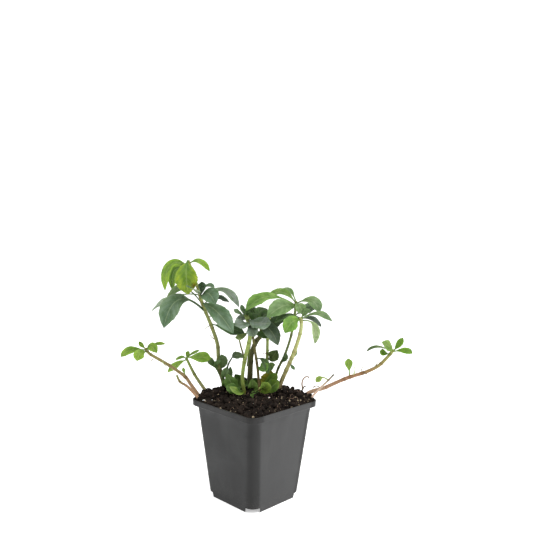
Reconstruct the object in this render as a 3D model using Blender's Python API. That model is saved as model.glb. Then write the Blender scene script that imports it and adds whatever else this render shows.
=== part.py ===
"""Potted pachysandra: a rooted plant in a square nursery pot, modelled at rest on its base.

The pot stands with its walls square to X and Y, its base on z = 0. The plant hangs on an
empty that is turned 45 degrees, so that its long runners cross two opposite pot corners.
Sizes are in metres. The plant's layout tables are in millimetres and are scaled by MM.
"""

import math
import random

import bmesh
import bpy
from mathutils import Matrix, Vector

MM = 0.001

# Pot
pot_height = 0.095
rim_width = 0.090
rim_band_height = 0.0056
rim_corner_radius = 0.0096
rim_overhang = 0.0040
base_width = 0.0640
base_corner_radius = 0.0090
pot_wall = 0.0012
foot_height = 0.0045
foot_notch_width = 0.0134
foot_notch_depth = 0.0150
drain_hole_diameter = 0.0040
corner_steps = 4

# Soil
soil_gap = 0.0003
soil_edge_drop = 0.0020
soil_mound = 0.0015
soil_heap = 0.0065
soil_heap_reach = 0.040
soil_lump = 0.0010
soil_ring_shares = (0.88, 0.66, 0.42, 0.20)
soil_seed = 7

# Plant
plant_turn = math.radians(45)
fit_gap = 0.0003
stem_sides = 8
stem_ring_spacing = 0.0085
leaf_thickness = 0.0009
leaf_cup = 0.16
petiole_width = 0.0013
petiole_thickness = 0.0011

# Share of the blade's length, then share of its greatest half width there.
LEAF_OUTLINE = ((0.0, 0.10), (0.22, 0.52), (0.42, 0.84), (0.62, 1.0), (0.80, 0.80), (0.93, 0.36))

STEM_OLIVE = (0.26, 0.27, 0.11)
STEM_GREEN = (0.35, 0.42, 0.15)
STEM_PALE = (0.45, 0.48, 0.20)
STEM_BROWN = (0.16, 0.13, 0.06)
RUNNER_TAN = (0.38, 0.24, 0.14)
DARK_LEAF = (0.14, 0.21, 0.11)
MID_LEAF = (0.17, 0.30, 0.09)
LIGHT_LEAF = (0.28, 0.42, 0.07)

# The layout's points are (across, away, above the rim's top). On side 0 across runs from the
# pot's middle, and on sides -1 and 1 from that side's rim corner.
# Each stem: side, radius at the foot, radius at the tip, colour, points.
STEMS = {
    "tall_left_stem": (0, 2.3, 1.3, STEM_OLIVE, (
        (-28, 16, -3), (-30, 15, 9), (-35, 13, 26), (-36, 12, 40), (-37, 10, 52),
        (-42, 8, 68), (-48, 6, 83), (-52, 5, 94), (-56, 5, 108), (-65, 5, 133))),
    "centre_stem": (0, 1.8, 2.0, STEM_GREEN, (
        (-9, 10, -3), (-12, 8, 17), (-10, 4, 37), (-6, 3, 54), (-5, 3, 63), (-6, 4, 73),
        (-9, 5, 81))),
    "brown_stem": (0, 3.0, 1.6, STEM_BROWN, (
        (-6, 22, -3), (-5, 20, 18), (-4, 19, 39), (1, 18, 53), (6, 16, 60), (5, 14, 71),
        (3, 13, 78))),
    "thin_stem": (0, 1.4, 1.1, STEM_OLIVE, (
        (5, 10, -3), (3, 9, 25), (0, 8, 45), (-2, 8, 58), (-3, 8, 71))),
    "back_stem": (0, 1.6, 1.3, STEM_GREEN, (
        (12, 30, -3), (12, 26, 30), (12, 22, 53), (12, 18, 66), (14, 14, 77))),
    "right_thin_stem": (0, 1.3, 1.2, STEM_GREEN, (
        (17, 24, -3), (22, 22, 22), (29, 18, 39), (35, 12, 60), (38, 8, 81), (39, 5, 95))),
    "right_main_stem": (0, 2.3, 1.5, STEM_PALE, (
        (20, 14, -3), (26, 12, 14), (32, 8, 30), (38, 4, 46), (43, 0, 64), (44, -3, 75),
        (43, -5, 81))),
    "left_runner": (-1, 1.8, 1.3, RUNNER_TAN, (
        (10, 3, -4), (-2, 4, 12), (-8, 2, 21), (-21, 0, 31), (-34, -4, 40), (-41, -6, 45),
        (-44, -8, 50))),
    "left_twig": (-1, 1.5, 1.0, RUNNER_TAN, (
        (11, -3, -4), (-4, -4, 12), (-11, -8, 18), (-14, -10, 25))),
    "left_shoot": (-1, 1.8, 1.2, STEM_GREEN, (
        (18, 9, -4), (7, 13, 10), (0, 14, 20), (-5, 12, 31), (-8, 12, 37))),
    "right_runner": (1, 2.0, 1.4, RUNNER_TAN, (
        (-16, 5, -5), (-7, 6, 5), (8, 6, 10), (13, 4, 13), (30, 0, 22), (48, -3, 29),
        (58, -5, 35), (65, -6, 42), (70, -6, 48), (72, -6, 51))),
    "right_twig": (1, 1.2, 0.8, RUNNER_TAN, (
        (-11, -1, -5), (1, -1, 9), (11, -3, 20), (16, -4, 26))),
}

# Each leaf: stem, place along it counted in its points, middle of the midrib, tip, width, the
# way its upper face looks, the petiole's share of the length, colour. The young leaves and
# bracts of a stem are grown together with it.
LEAVES = {
    "top_leaf_front": (
        "tall_left_stem", 9, (-65, -11, 122), (-63, -8, 102), 22, (0, -1, 0.25), 0.1, LIGHT_LEAF),
    "top_leaf_right": (
        "tall_left_stem", 8.9, (-54, 10, 132), (-45, 15, 122), 8, (0.25, -0.75, 0.6), 0.1, LIGHT_LEAF),
    "top_leaf_left": (
        "tall_left_stem", 8.8, (-81, -2, 129), (-85, -8, 105), 14, (-0.7, -0.75, 0.3), 0.1, LIGHT_LEAF),
    "top_leaf_left_back": (
        "tall_left_stem", 8.6, (-79, 14, 123), (-81, 16, 102), 11, (-0.4, -0.85, 0.3), 0.12, LIGHT_LEAF),
    "mid_leaf_long_left": (
        "tall_left_stem", 6.2, (-72, -10, 97), (-85, -16, 71), 22, (-0.25, -0.8, 0.55), 0.28, DARK_LEAF),
    "mid_leaf_left_back": (
        "tall_left_stem", 6.9, (-72, 9, 106), (-87, 10, 89), 13, (-0.3, -0.5, 0.8), 0.26, DARK_LEAF),
    "mid_leaf_far_left": (
        "tall_left_stem", 7.5, (-80, 22, 96), (-105, 28, 80), 12, (-0.1, -0.5, 0.85), 0.3, DARK_LEAF),
    "mid_leaf_front": (
        "tall_left_stem", 7.3, (-44, -14, 104), (-36, -24, 95), 18, (0.1, -0.85, 0.55), 0.05, DARK_LEAF),
    "mid_leaf_front_right": (
        "tall_left_stem", 6.8, (-36, -9, 86), (-20, -17, 67), 19, (0.3, -0.8, 0.5), 0.04, DARK_LEAF),
    "mid_leaf_long_right": (
        "tall_left_stem", 7.3, (-32, 14, 104), (-16, 8, 88), 12, (0.35, -0.35, 0.8), 0.2, DARK_LEAF),
    "mid_leaf_right_back": (
        "tall_left_stem", 6.7, (-38, 16, 96), (-26, 20, 91), 9, (0.1, -0.5, 0.9), 0.25, DARK_LEAF),
    "lower_leaf_right": (
        "tall_left_stem", 5.2, (-26, 1, 69), (-10, -3, 65), 13, (0.1, -0.8, 0.6), 0.12, DARK_LEAF),
    "centre_leaf_front_left": (
        "centre_stem", 5.1, (-11, -7, 75), (-20, -11, 74), 17, (-0.1, -0.65, 0.75), 0.08, DARK_LEAF),
    "centre_leaf_front_right": (
        "centre_stem", 5.4, (4, -10, 76), (15, -17, 77), 20, (0.05, -0.7, 0.7), 0.08, DARK_LEAF),
    "rosette_leaf_right": (
        "brown_stem", 5.4, (9, 11, 81), (16, 8, 78), 12, (0.2, -0.6, 0.75), 0.08, MID_LEAF),
    "centre_leaf_down": (
        "thin_stem", 4, (12, -6, 71), (22, -12, 55), 15, (0.2, -0.9, 0.3), 0.12, DARK_LEAF),
    "centre_leaf_under": (
        "thin_stem", 3.3, (6, 8, 62), (16, 6, 59), 11, (0.1, -0.6, 0.8), 0.1, DARK_LEAF),
    "right_leaf_upper_left": (
        "right_thin_stem", 4.7, (12, 0, 100), (-9, -8, 87), 17, (-0.15, -0.6, 0.8), 0.26, MID_LEAF),
    "right_leaf_upper_thin": (
        "right_thin_stem", 4.9, (25, 12, 103), (10, 18, 95), 13, (-0.1, -0.55, 0.85), 0.1, MID_LEAF),
    "right_leaf_front": (
        "right_thin_stem", 4.5, (27, -6, 92), (11, -16, 82), 18, (-0.15, -0.85, 0.5), 0.04, MID_LEAF),
    "right_leaf_right_upper": (
        "right_thin_stem", 4.85, (54, 3, 96), (61, -1, 85), 14, (0.25, -0.65, 0.75), 0.15, MID_LEAF),
    "right_leaf_grey": (
        "right_thin_stem", 4, (50, 10, 87), (58, 8, 87), 12, (0.1, -0.75, 0.65), 0.08, MID_LEAF),
    "right_leaf_long": (
        "right_main_stem", 5.7, (59, -8, 85), (73, -10, 78), 10, (0.15, -0.4, 0.95), 0.12, MID_LEAF),
    "right_leaf_dark_back": (
        "right_main_stem", 5.7, (55, 4, 78), (64, 6, 70), 10, (0.3, -0.6, 0.8), 0.15, DARK_LEAF),
    "right_leaf_hanging": (
        "right_main_stem", 5.4, (57, -4, 73), (57, -4, 55), 8, (-0.15, -0.95, 0.2), 0.25, LIGHT_LEAF),
    "right_leaf_dark_left": (
        "right_main_stem", 5.9, (31, -8, 83), (18, -12, 76), 10, (0, -0.35, 1), 0.15, DARK_LEAF),
    "right_leaf_light": (
        "right_main_stem", 5.5, (35, -14, 78), (28, -18, 68), 15, (-0.1, -0.95, 0.3), 0.1, LIGHT_LEAF),
    "right_leaf_low_left": (
        "right_main_stem", 5.6, (26, 4, 79), (12, 2, 66), 13, (-0.1, -0.8, 0.5), 0.25, DARK_LEAF),
    "oval_leaf": (
        "back_stem", 1.15, (17, 22, 36), (22, 21, 44), 12, (0, -1, 0.2), 0.12, DARK_LEAF),
    "low_leaf_mid": (
        "back_stem", 0.72, (15, 21, 26), (20, 18, 30), 9, (0.1, -0.8, 0.6), 0.1, LIGHT_LEAF),
    "yellow_leaf_back": (
        "thin_stem", 0.3, (12, 13, 13), (16, 14, 25), 16, (0.1, -0.95, 0.3), 0.06, LIGHT_LEAF),
    "yellow_leaf_right": (
        "thin_stem", 0.25, (16, 3, 11), (23, 0, 19), 13, (0.2, -0.85, 0.5), 0.06, LIGHT_LEAF),
    "yellow_leaf_front": (
        "thin_stem", 0.25, (10, -3, 11), (7, -6, 18), 13, (0, -0.95, 0.3), 0.06, LIGHT_LEAF),
    "front_oval_leaf": (
        "centre_stem", 0.4, (-15, -3, 7), (-24, -7, 14), 8, (-0.1, -0.6, 0.8), 0.08, LIGHT_LEAF),
    "clump_leaf_left": (
        "centre_stem", 0.65, (-21, 7, 11), (-27, 7, 23), 14, (-0.25, -0.93, 0.3), 0.06, MID_LEAF),
    "clump_leaf_back": (
        "brown_stem", 0.6, (-14, 20, 11), (-20, 18, 20), 12, (-0.1, -0.93, 0.4), 0.12, DARK_LEAF),
    "curled_leaf": (
        "centre_stem", 2.1, (-16, -1, 43), (-22, -3, 41), 9, (-0.2, -0.7, 0.7), 0.05, MID_LEAF),
    "stem_leaf_right": (
        "tall_left_stem", 2, (-31, 9, 33), (-33, 7, 42), 10, (0.1, -0.95, 0.2), 0.08, MID_LEAF),
    "left_tip_leaf_far": (
        "left_runner", 5.7, (-58, -8, 48), (-67, -10, 42), 10, (-0.1, -0.75, 0.65), 0.12, LIGHT_LEAF),
    "left_tip_leaf_front": (
        "left_runner", 5.4, (-48, -14, 46), (-50, -18, 40), 11, (0, -0.9, 0.4), 0.1, LIGHT_LEAF),
    "left_tip_leaf_right": (
        "left_runner", 5.7, (-38, -12, 53), (-32, -14, 47), 10, (0.15, -0.75, 0.65), 0.1, LIGHT_LEAF),
    "shoot_leaf_right": (
        "left_shoot", 4, (6, 7, 39), (17, 5, 38), 12, (0, -0.8, 0.6), 0.1, LIGHT_LEAF),
    "shoot_leaf_left": (
        "left_shoot", 3.7, (-16, 10, 31), (-26, 8, 23), 9, (-0.2, -0.7, 0.7), 0.15, MID_LEAF),
    "right_tip_leaf_up": (
        "right_runner", 8.9, (77, -6, 56), (81, -6, 63), 7, (0.2, -0.9, 0.3), 0.1, LIGHT_LEAF),
    "right_tip_leaf_right": (
        "right_runner", 8.6, (82, -10, 51), (89, -12, 49), 8, (0.1, -0.7, 0.7), 0.1, LIGHT_LEAF),
    "right_tip_leaf_pale": (
        "right_runner", 8.8, (67, -11, 55), (59, -15, 60), 11, (-0.05, -0.8, 0.6), 0.05, LIGHT_LEAF),
}
YOUNG_LEAVES = {
    "top_leaf_back": (
        "tall_left_stem", 8.4, (-75, 20, 125), (-80, 26, 108), 9, (-0.4, -0.6, 0.5), 0.15, LIGHT_LEAF),
    "mid_leaf_left_young": (
        "tall_left_stem", 7.5, (-55, -13, 106), (-64, -22, 112), 9, (-0.1, -0.4, 0.9), 0.1, DARK_LEAF),
    "mid_leaf_front_young": (
        "tall_left_stem", 7.4, (-51, -1, 108), (-51, -5, 114), 8, (0, -0.9, 0.3), 0.1, DARK_LEAF),
    "mid_leaf_right_young": (
        "tall_left_stem", 7.9, (-45, 8, 109), (-40, 10, 107), 7, (0.1, -0.5, 0.8), 0.12, DARK_LEAF),
    "centre_leaf_young_left": (
        "centre_stem", 5.9, (-16, 2, 84), (-21, 2, 87), 6, (-0.2, -0.6, 0.8), 0.1, DARK_LEAF),
    "centre_leaf_young_top": (
        "centre_stem", 5.95, (-12, 6, 86), (-14, 6, 91), 5, (0, -0.9, 0.4), 0.1, DARK_LEAF),
    "centre_leaf_light": (
        "centre_stem", 4.4, (-12, -3, 62), (-19, -5, 61), 8, (-0.1, -0.6, 0.8), 0.15, LIGHT_LEAF),
    "rosette_leaf_left": (
        "brown_stem", 5.6, (-4, 13, 81), (-13, 13, 82), 14, (-0.1, -0.65, 0.75), 0.06, MID_LEAF),
    "rosette_leaf_back": (
        "brown_stem", 5.8, (5, 19, 83), (12, 25, 84), 12, (0.1, -0.5, 0.85), 0.06, MID_LEAF),
    "right_leaf_top": (
        "right_thin_stem", 5, (32, 17, 105), (23, 25, 102), 9, (0, -0.3, 1), 0.12, MID_LEAF),
    "right_leaf_young": (
        "right_main_stem", 5.85, (47, -9, 86), (52, -13, 88), 7, (0.1, -0.85, 0.5), 0.1, MID_LEAF),
    "low_leaf_dark": (
        "thin_stem", 1.6, (9, 4, 36), (13, 2, 24), 8, (0.3, -0.9, 0.4), 0.15, DARK_LEAF),
    "clump_leaf_right": (
        "brown_stem", 0.45, (-1, 15, 11), (1, 13, 18), 11, (0.2, -0.9, 0.3), 0.06, MID_LEAF),
    "stem_leaf_left": (
        "tall_left_stem", 1.9, (-42, 10, 33), (-47, 8, 38), 7, (-0.2, -0.8, 0.6), 0.1, MID_LEAF),
    "stem_leaf_low": (
        "tall_left_stem", 1.2, (-26, 10, 19), (-24, 8, 30), 7, (0.2, -0.9, 0.3), 0.1, MID_LEAF),
    "small_leaf_right": (
        "right_main_stem", 2.3, (36, 6, 31), (39, 5, 28), 4.5, (0.4, -0.8, 0.4), 0.15, DARK_LEAF),
    "small_leaf_left": (
        "right_thin_stem", 1.6, (29, 16, 36), (31, 15, 42), 6, (-0.1, -0.95, 0.2), 0.1, MID_LEAF),
    "pale_leaf_right": (
        "right_main_stem", 2.6, (38, 8, 42), (40, 10, 48), 5, (0.2, -0.9, 0.2), 0.15, LIGHT_LEAF),
    "left_tip_leaf_up": (
        "left_runner", 5.95, (-48, -4, 52), (-51, -4, 56), 4.5, (0, -0.9, 0.3), 0.1, LIGHT_LEAF),
    "left_tip_leaf_thin": (
        "left_runner", 5.8, (-36, 2, 52), (-27, 4, 52), 5, (0, -0.5, 0.9), 0.1, LIGHT_LEAF),
    "shoot_leaf_back": (
        "left_shoot", 3.9, (-13, 18, 36), (-20, 20, 33), 5, (-0.1, -0.5, 0.8), 0.1, LIGHT_LEAF),
    "shoot_leaf_up": (
        "left_shoot", 4, (-7, 14, 40), (-5, 14, 43), 5, (0, -0.9, 0.3), 0.1, LIGHT_LEAF),
    "shoot_leaf_thin": (
        "left_shoot", 3.95, (-2, 20, 40), (4, 24, 42), 4, (0, -0.6, 0.8), 0.1, MID_LEAF),
    "right_tip_leaf_left": (
        "right_runner", 8.5, (57, -3, 53), (47, -2, 48), 5, (-0.1, -0.4, 0.9), 0.12, LIGHT_LEAF),
    "right_tip_leaf_low": (
        "right_runner", 7.7, (62, -10, 49), (58, -12, 51), 7, (-0.1, -0.9, 0.4), 0.1, LIGHT_LEAF),
    "runner_leaf": (
        "right_runner", 4.12, (31, 0, 33), (30, 0, 41), 8, (0.1, -0.95, 0.3), 0.25, LIGHT_LEAF),
    "round_pale_leaf": (
        "right_twig", 2, (5, -1, 22), (-1, -3, 18), 6, (-0.1, -0.9, 0.3), 0.4, LIGHT_LEAF),
    "rosette_leaf_front": (
        "brown_stem", 5.3, (1, 8, 78), (-3, 5, 74), 14, (0, -0.75, 0.65), 0.06, MID_LEAF),
    "clump_leaf_low": (
        "centre_stem", 0.42, (-20, 1, 9), (-27, -2, 14), 11, (-0.1, -0.85, 0.5), 0.06, DARK_LEAF),
    "centre_leaf_front_mid": (
        "centre_stem", 4.9, (-3, -12, 70), (0, -16, 64), 12, (0.05, -0.95, 0.3), 0.1, DARK_LEAF),
    "runner_bud_leaf": (
        "left_runner", 2, (-9, 2, 26), (-9, 1, 30), 3.5, (0, -0.9, 0.4), 0.2, MID_LEAF),
    "rosette_leaf_inner": (
        "brown_stem", 5.7, (-1, 17, 82), (-6, 22, 85), 11, (-0.1, -0.5, 0.85), 0.06, DARK_LEAF),
    "centre_leaf_back": (
        "centre_stem", 5.5, (-12, 9, 77), (-19, 11, 76), 11, (-0.1, -0.6, 0.8), 0.06, DARK_LEAF),
    "right_leaf_front_low": (
        "right_thin_stem", 4.85, (42, -6, 92), (45, -5, 84), 11, (0.2, -0.9, 0.4), 0.05, MID_LEAF),
}

shoulder_z = pot_height - rim_band_height
shoulder_width = rim_width - 2 * rim_overhang
rim_corner_reach = rim_width / math.sqrt(2) - (math.sqrt(2) - 1) * rim_corner_radius


def clear_scene():
    for old in list(bpy.data.objects):
        bpy.data.objects.remove(old, do_unlink=True)


def material(name, colour, roughness):
    made = bpy.data.materials.new(name)
    made.use_nodes = True
    shader = made.node_tree.nodes["Principled BSDF"]
    shader.inputs["Base Color"].default_value = (*colour, 1.0)
    shader.inputs["Roughness"].default_value = roughness
    shader.inputs["Metallic"].default_value = 0.0
    return made


def add_object(name, points, faces, looks=None, parent=None):
    """Makes one closed mesh object facing out, smooth but for its sharp edges."""
    mesh = bpy.data.meshes.new(name)
    mesh.from_pydata([tuple(p) for p in points], [], faces)
    shape = bmesh.new()
    shape.from_mesh(mesh)
    bmesh.ops.recalc_face_normals(shape, faces=shape.faces)
    if shape.calc_volume(signed=True) < 0:
        bmesh.ops.reverse_faces(shape, faces=shape.faces)
    for face in shape.faces:
        face.smooth = True
    shape.to_mesh(mesh)
    shape.free()
    mesh.set_sharp_from_angle(angle=math.radians(50))
    if looks is not None:
        mesh.materials.append(looks)
    made = bpy.data.objects.new(name, mesh)
    bpy.context.scene.collection.objects.link(made)
    made.parent = parent
    return made


def as_cutter(made):
    made.hide_render = True
    made.display_type = "WIRE"
    return made


def boolean(target, other, operation):
    step = target.modifiers.new(other.name, "BOOLEAN")
    step.operation = operation
    step.solver = "EXACT"
    step.object = other


def rounded_square(width, radius, z):
    """A ring of points, anticlockwise from above, with a rounded corner in each quadrant."""
    inner = width / 2 - radius
    ring = []
    for corner in range(4):
        diagonal = math.radians(45 + 90 * corner)
        middle = Vector((math.cos(diagonal), math.sin(diagonal), 0)) * inner * math.sqrt(2)
        for step in range(corner_steps + 1):
            angle = math.radians(90 * corner + 90 * step / corner_steps)
            spoke = Vector((math.cos(angle), math.sin(angle), 0)) * radius
            ring.append(middle + spoke + Vector((0, 0, z)))
    return ring


def loft(rings, crown=None):
    """Closes a stack of equal rings, lowest first. A crown point tops it in place of a face."""
    count = len(rings[0])
    points = [p for ring in rings for p in ring]
    top = len(points) - count
    faces = [list(reversed(range(count)))]
    for level in range(len(rings) - 1):
        low = level * count
        for k in range(count):
            after = (k + 1) % count
            faces.append([low + k, low + after, low + count + after, low + count + k])
    if crown is None:
        faces.append(list(range(top, top + count)))
    else:
        points.append(crown)
        faces += [[top + k, top + (k + 1) % count, top + count] for k in range(count)]
    return points, faces


def corner_blocks(name, grown, height):
    """Cutters for the notches in the base's corners, wider and deeper by grown, up to height."""
    side = foot_notch_width / 2 + grown
    near = base_width / math.sqrt(2) - foot_notch_depth - grown
    outline = [(near, -side), (base_width, -side), (base_width, side), (near, side)]
    blocks = []
    for corner in range(4):
        turn = Matrix.Rotation(math.radians(45 + 90 * corner), 3, "Z")
        rings = [[turn @ Vector((x, y, z)) for x, y in outline] for z in (-foot_height, height)]
        blocks.append(as_cutter(add_object(f"{name}_{corner + 1}", *loft(rings))))
    return blocks


def inside_rings(gap):
    """The rings of the pot's inside, drawn in by a gap, from its floor to its shoulder."""
    less = 2 * (pot_wall + gap)
    ledge = shoulder_z + pot_wall + gap
    base_radius = base_corner_radius - less / 2
    rim_radius = rim_corner_radius - less / 2
    return [
        rounded_square(base_width - less, base_radius, pot_wall + gap),
        rounded_square(shoulder_width - less, rim_radius, ledge),
        rounded_square(rim_width - less, rim_radius, ledge),
    ]


def make_pot(looks):
    rings = [
        rounded_square(base_width, base_corner_radius, 0),
        rounded_square(shoulder_width, rim_corner_radius, shoulder_z),
        rounded_square(rim_width, rim_corner_radius, shoulder_z),
        rounded_square(rim_width, rim_corner_radius, pot_height),
    ]
    pot = add_object("pot", *loft(rings), looks)
    for block in corner_blocks("foot_cut", 0, foot_height):
        boolean(pot, block, "DIFFERENCE")
    over_rim = pot_height + rim_band_height
    hollow_rings = inside_rings(0)
    hollow_rings.append([Vector((p.x, p.y, over_rim)) for p in hollow_rings[-1]])
    hollow = as_cutter(add_object("pot_hollow", *loft(hollow_rings)))
    for block in corner_blocks("floor_cut", pot_wall, foot_height + pot_wall):
        boolean(hollow, block, "DIFFERENCE")
    boolean(pot, hollow, "DIFFERENCE")
    corner_reach = base_width / math.sqrt(2) - (math.sqrt(2) - 1) * base_corner_radius
    notch_reach = base_width / math.sqrt(2) - foot_notch_depth
    hole_reach = (corner_reach + notch_reach - pot_wall) / 2
    for corner in range(4):
        turn = Matrix.Rotation(math.radians(45 + 90 * corner), 3, "Z")
        foot = turn @ Vector((hole_reach, 0, 0))
        ring = [
            foot + Vector((math.cos(angle), math.sin(angle), 0)) * drain_hole_diameter / 2
            for angle in [math.tau * k / 12 for k in range(12)]
        ]
        lift = Vector((0, 0, 2 * foot_height))
        drill = loft([ring, [p + lift for p in ring]])
        boolean(pot, as_cutter(add_object(f"drain_{corner + 1}", *drill)), "DIFFERENCE")
    return pot


def make_soil(looks):
    chance = random.Random(soil_seed)
    rings = inside_rings(soil_gap)
    edge_z = pot_height - soil_edge_drop
    edge = [Vector((p.x, p.y, edge_z)) for p in rings[-1]]
    rings.append(edge)
    across = Vector((math.cos(plant_turn), math.sin(plant_turn), 0))
    away = Vector((-math.sin(plant_turn), math.cos(plant_turn), 0))
    for share in soil_ring_shares:
        ring = []
        for p in edge:
            climb = (away.dot(p) + 0.6 * abs(across.dot(p))) * share / soil_heap_reach
            climb = min(max(climb, 0.0), 1.0)
            heap = soil_heap * climb**2 * (3 - 2 * climb) * (1 - share**10)
            rise = soil_mound * (1 - share * share) + heap
            height = pot_height + rise + chance.uniform(-1, 1) * soil_lump
            ring.append(Vector((p.x * share, p.y * share, height)))
        rings.append(ring)
    crown = Vector((0, 0, pot_height + soil_mound))
    soil = add_object("soil", *loft(rings, crown), looks)
    for block in corner_blocks("soil_cut", pot_wall + soil_gap, foot_height + pot_wall + soil_gap):
        boolean(soil, block, "DIFFERENCE")
    return soil


def placed(side, point):
    """A layout point in metres, on the plant's own axes."""
    across, away, up = point
    return Vector((side * rim_corner_reach + across * MM, away * MM, pot_height + up * MM))


def spline(points, place):
    """A smooth curve through the points, at a place counted in points."""
    last = len(points) - 1
    k = min(int(place), last - 1)
    t = place - k
    b, c = points[k], points[k + 1]
    a = points[k - 1] if k > 0 else b + (b - c)
    d = points[k + 2] if k + 2 <= last else c + (c - b)
    return (b * 2 + (c - a) * t + (a * 2 - b * 5 + c * 4 - d) * t**2
            + (b * 3 - a - c * 3 + d) * t**3) / 2


def spline_way(points, place):
    last = len(points) - 1
    low = max(place - 0.02, 0)
    high = min(place + 0.02, last)
    return (spline(points, high) - spline(points, low)).normalized()


class Stem:
    def __init__(self, name):
        self.side, foot, tip, self.colour, layout = STEMS[name]
        self.points = [placed(self.side, p) for p in layout]
        self.foot_radius = foot * MM
        self.tip_radius = tip * MM
        self.last = len(layout) - 1

    def radius(self, place):
        return self.foot_radius + (self.tip_radius - self.foot_radius) * place / self.last

    def tube(self, more=0.0):
        """A tapered tube along the stem with pointed ends, thicker by more all round."""
        places = [0.0]
        for k in range(self.last):
            span = (self.points[k + 1] - self.points[k]).length
            steps = max(1, round(span / stem_ring_spacing))
            places += [k + (step + 1) / steps for step in range(steps)]
        across = Vector((1, 0, 0))
        rings = []
        for place in places:
            middle = spline(self.points, place)
            way = spline_way(self.points, place)
            across = (across - way * across.dot(way)).normalized()
            other = way.cross(across)
            radius = self.radius(place) + more
            rings.append([
                middle + across * radius * math.cos(angle) + other * radius * math.sin(angle)
                for angle in [math.tau * k / stem_sides for k in range(stem_sides)]
            ])
        first_way = spline_way(self.points, 0)
        last_way = spline_way(self.points, self.last)
        foot = self.points[0] - first_way * (0.4 * self.foot_radius + more)
        head = self.points[-1] + last_way * (0.5 * self.tip_radius + more)
        points, faces = loft(rings, head)
        points.append(foot)
        ends = [[(k + 1) % stem_sides, k, len(points) - 1] for k in range(stem_sides)]
        return points, faces[1:] + ends


def leaf_shape(leaf, grown_on):
    """Rings of four points, left edge, top, right edge, underside, closed by a pointed tip."""
    stem_name, place, middle, tip, width, face, petiole, _ = leaf
    stem = Stem(stem_name)
    middle = placed(stem.side, middle)
    tip = placed(stem.side, tip)
    way = spline_way(stem.points, place)
    axis = spline(stem.points, place)
    out = middle - axis
    out = (out - way * out.dot(way)).normalized()
    off = stem.radius(place)
    off = 0.3 * off if grown_on else off + fit_gap + petiole_width / 4
    start = axis + out * off
    bend = middle * 2 - (start + tip) / 2
    face = Vector(face).normalized()
    shares = [(0.0, None)]
    if petiole > 0.22:
        shares.append((petiole / 2, None))
    shares += [(petiole + (1 - petiole) * q, half) for q, half in LEAF_OUTLINE]
    points = []
    for share, half in shares:
        centre = start * (1 - share) ** 2 + bend * 2 * share * (1 - share) + tip * share**2
        along = ((bend - start) * (1 - share) + (tip - bend) * share).normalized()
        up = (face - along * face.dot(along)).normalized()
        across = along.cross(up)
        if half is None:
            reach = petiole_width / 2
            thick = petiole_thickness
            rise = 0.0
        else:
            reach = max(half * width * MM / 2, petiole_width / 2)
            thick = leaf_thickness if half > LEAF_OUTLINE[0][1] else petiole_thickness
            rise = leaf_cup * (reach - petiole_width / 2)
        points += [
            centre - across * reach + up * rise,
            centre + up * thick / 2,
            centre + across * reach + up * rise,
            centre - up * thick / 2,
        ]
    points.append(tip)
    faces = [[3, 2, 1], [3, 1, 0]]
    for low in range(0, len(points) - 5, 4):
        high = low + 4
        for mid, edge in ((1, 0), (3, 0), (1, 2), (3, 2)):
            faces.append([low + mid, low + edge, high + edge])
            faces.append([low + mid, high + edge, high + mid])
    end = len(points) - 1
    faces += [[end - 4 + k, end - 4 + (k + 1) % 4, end] for k in range(4)]
    return points, faces


def make_plant(soil):
    plant = bpy.data.objects.new("plant_axes", None)
    bpy.context.scene.collection.objects.link(plant)
    plant.rotation_euler = (0, 0, plant_turn)
    for name in STEMS:
        stem = Stem(name)
        made = add_object(name, *stem.tube(), material(name, stem.colour, 0.5), plant)
        socket = as_cutter(add_object(name + "_socket", *stem.tube(fit_gap), None, plant))
        boolean(soil, socket, "DIFFERENCE")
        for young, leaf in YOUNG_LEAVES.items():
            if leaf[0] == name:
                grown = as_cutter(add_object(young, *leaf_shape(leaf, True), None, plant))
                boolean(made, grown, "UNION")
    for name, leaf in LEAVES.items():
        add_object(name, *leaf_shape(leaf, False), material(name, leaf[-1], 0.42), plant)


clear_scene()
make_pot(material("pot", (0.10, 0.10, 0.105), 0.5))
make_plant(make_soil(material("soil", (0.02, 0.014, 0.011), 0.95)))
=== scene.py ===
"""The looks of the potted pachysandra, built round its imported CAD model."""

import math
import random

import bmesh
import bpy
import numpy as np
from mathutils import Matrix, Vector, noise


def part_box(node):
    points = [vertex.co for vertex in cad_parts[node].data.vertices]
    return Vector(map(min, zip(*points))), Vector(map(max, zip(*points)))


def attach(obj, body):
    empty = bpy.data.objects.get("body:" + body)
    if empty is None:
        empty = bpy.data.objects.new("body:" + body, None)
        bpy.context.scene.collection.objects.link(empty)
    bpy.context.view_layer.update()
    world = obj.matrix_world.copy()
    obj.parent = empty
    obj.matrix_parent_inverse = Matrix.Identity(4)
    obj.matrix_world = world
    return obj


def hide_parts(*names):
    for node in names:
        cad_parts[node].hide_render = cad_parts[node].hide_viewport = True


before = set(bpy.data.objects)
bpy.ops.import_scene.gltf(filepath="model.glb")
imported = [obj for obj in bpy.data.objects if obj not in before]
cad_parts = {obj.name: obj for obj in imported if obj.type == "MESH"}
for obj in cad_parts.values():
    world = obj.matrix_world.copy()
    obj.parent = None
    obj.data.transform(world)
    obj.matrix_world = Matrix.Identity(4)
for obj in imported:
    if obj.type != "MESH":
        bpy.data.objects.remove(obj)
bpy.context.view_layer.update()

MM = 0.001
BOX_SLACK = 0.0040  # the most that the box of a leaf's looks may differ from its CAD leaf's box

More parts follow.
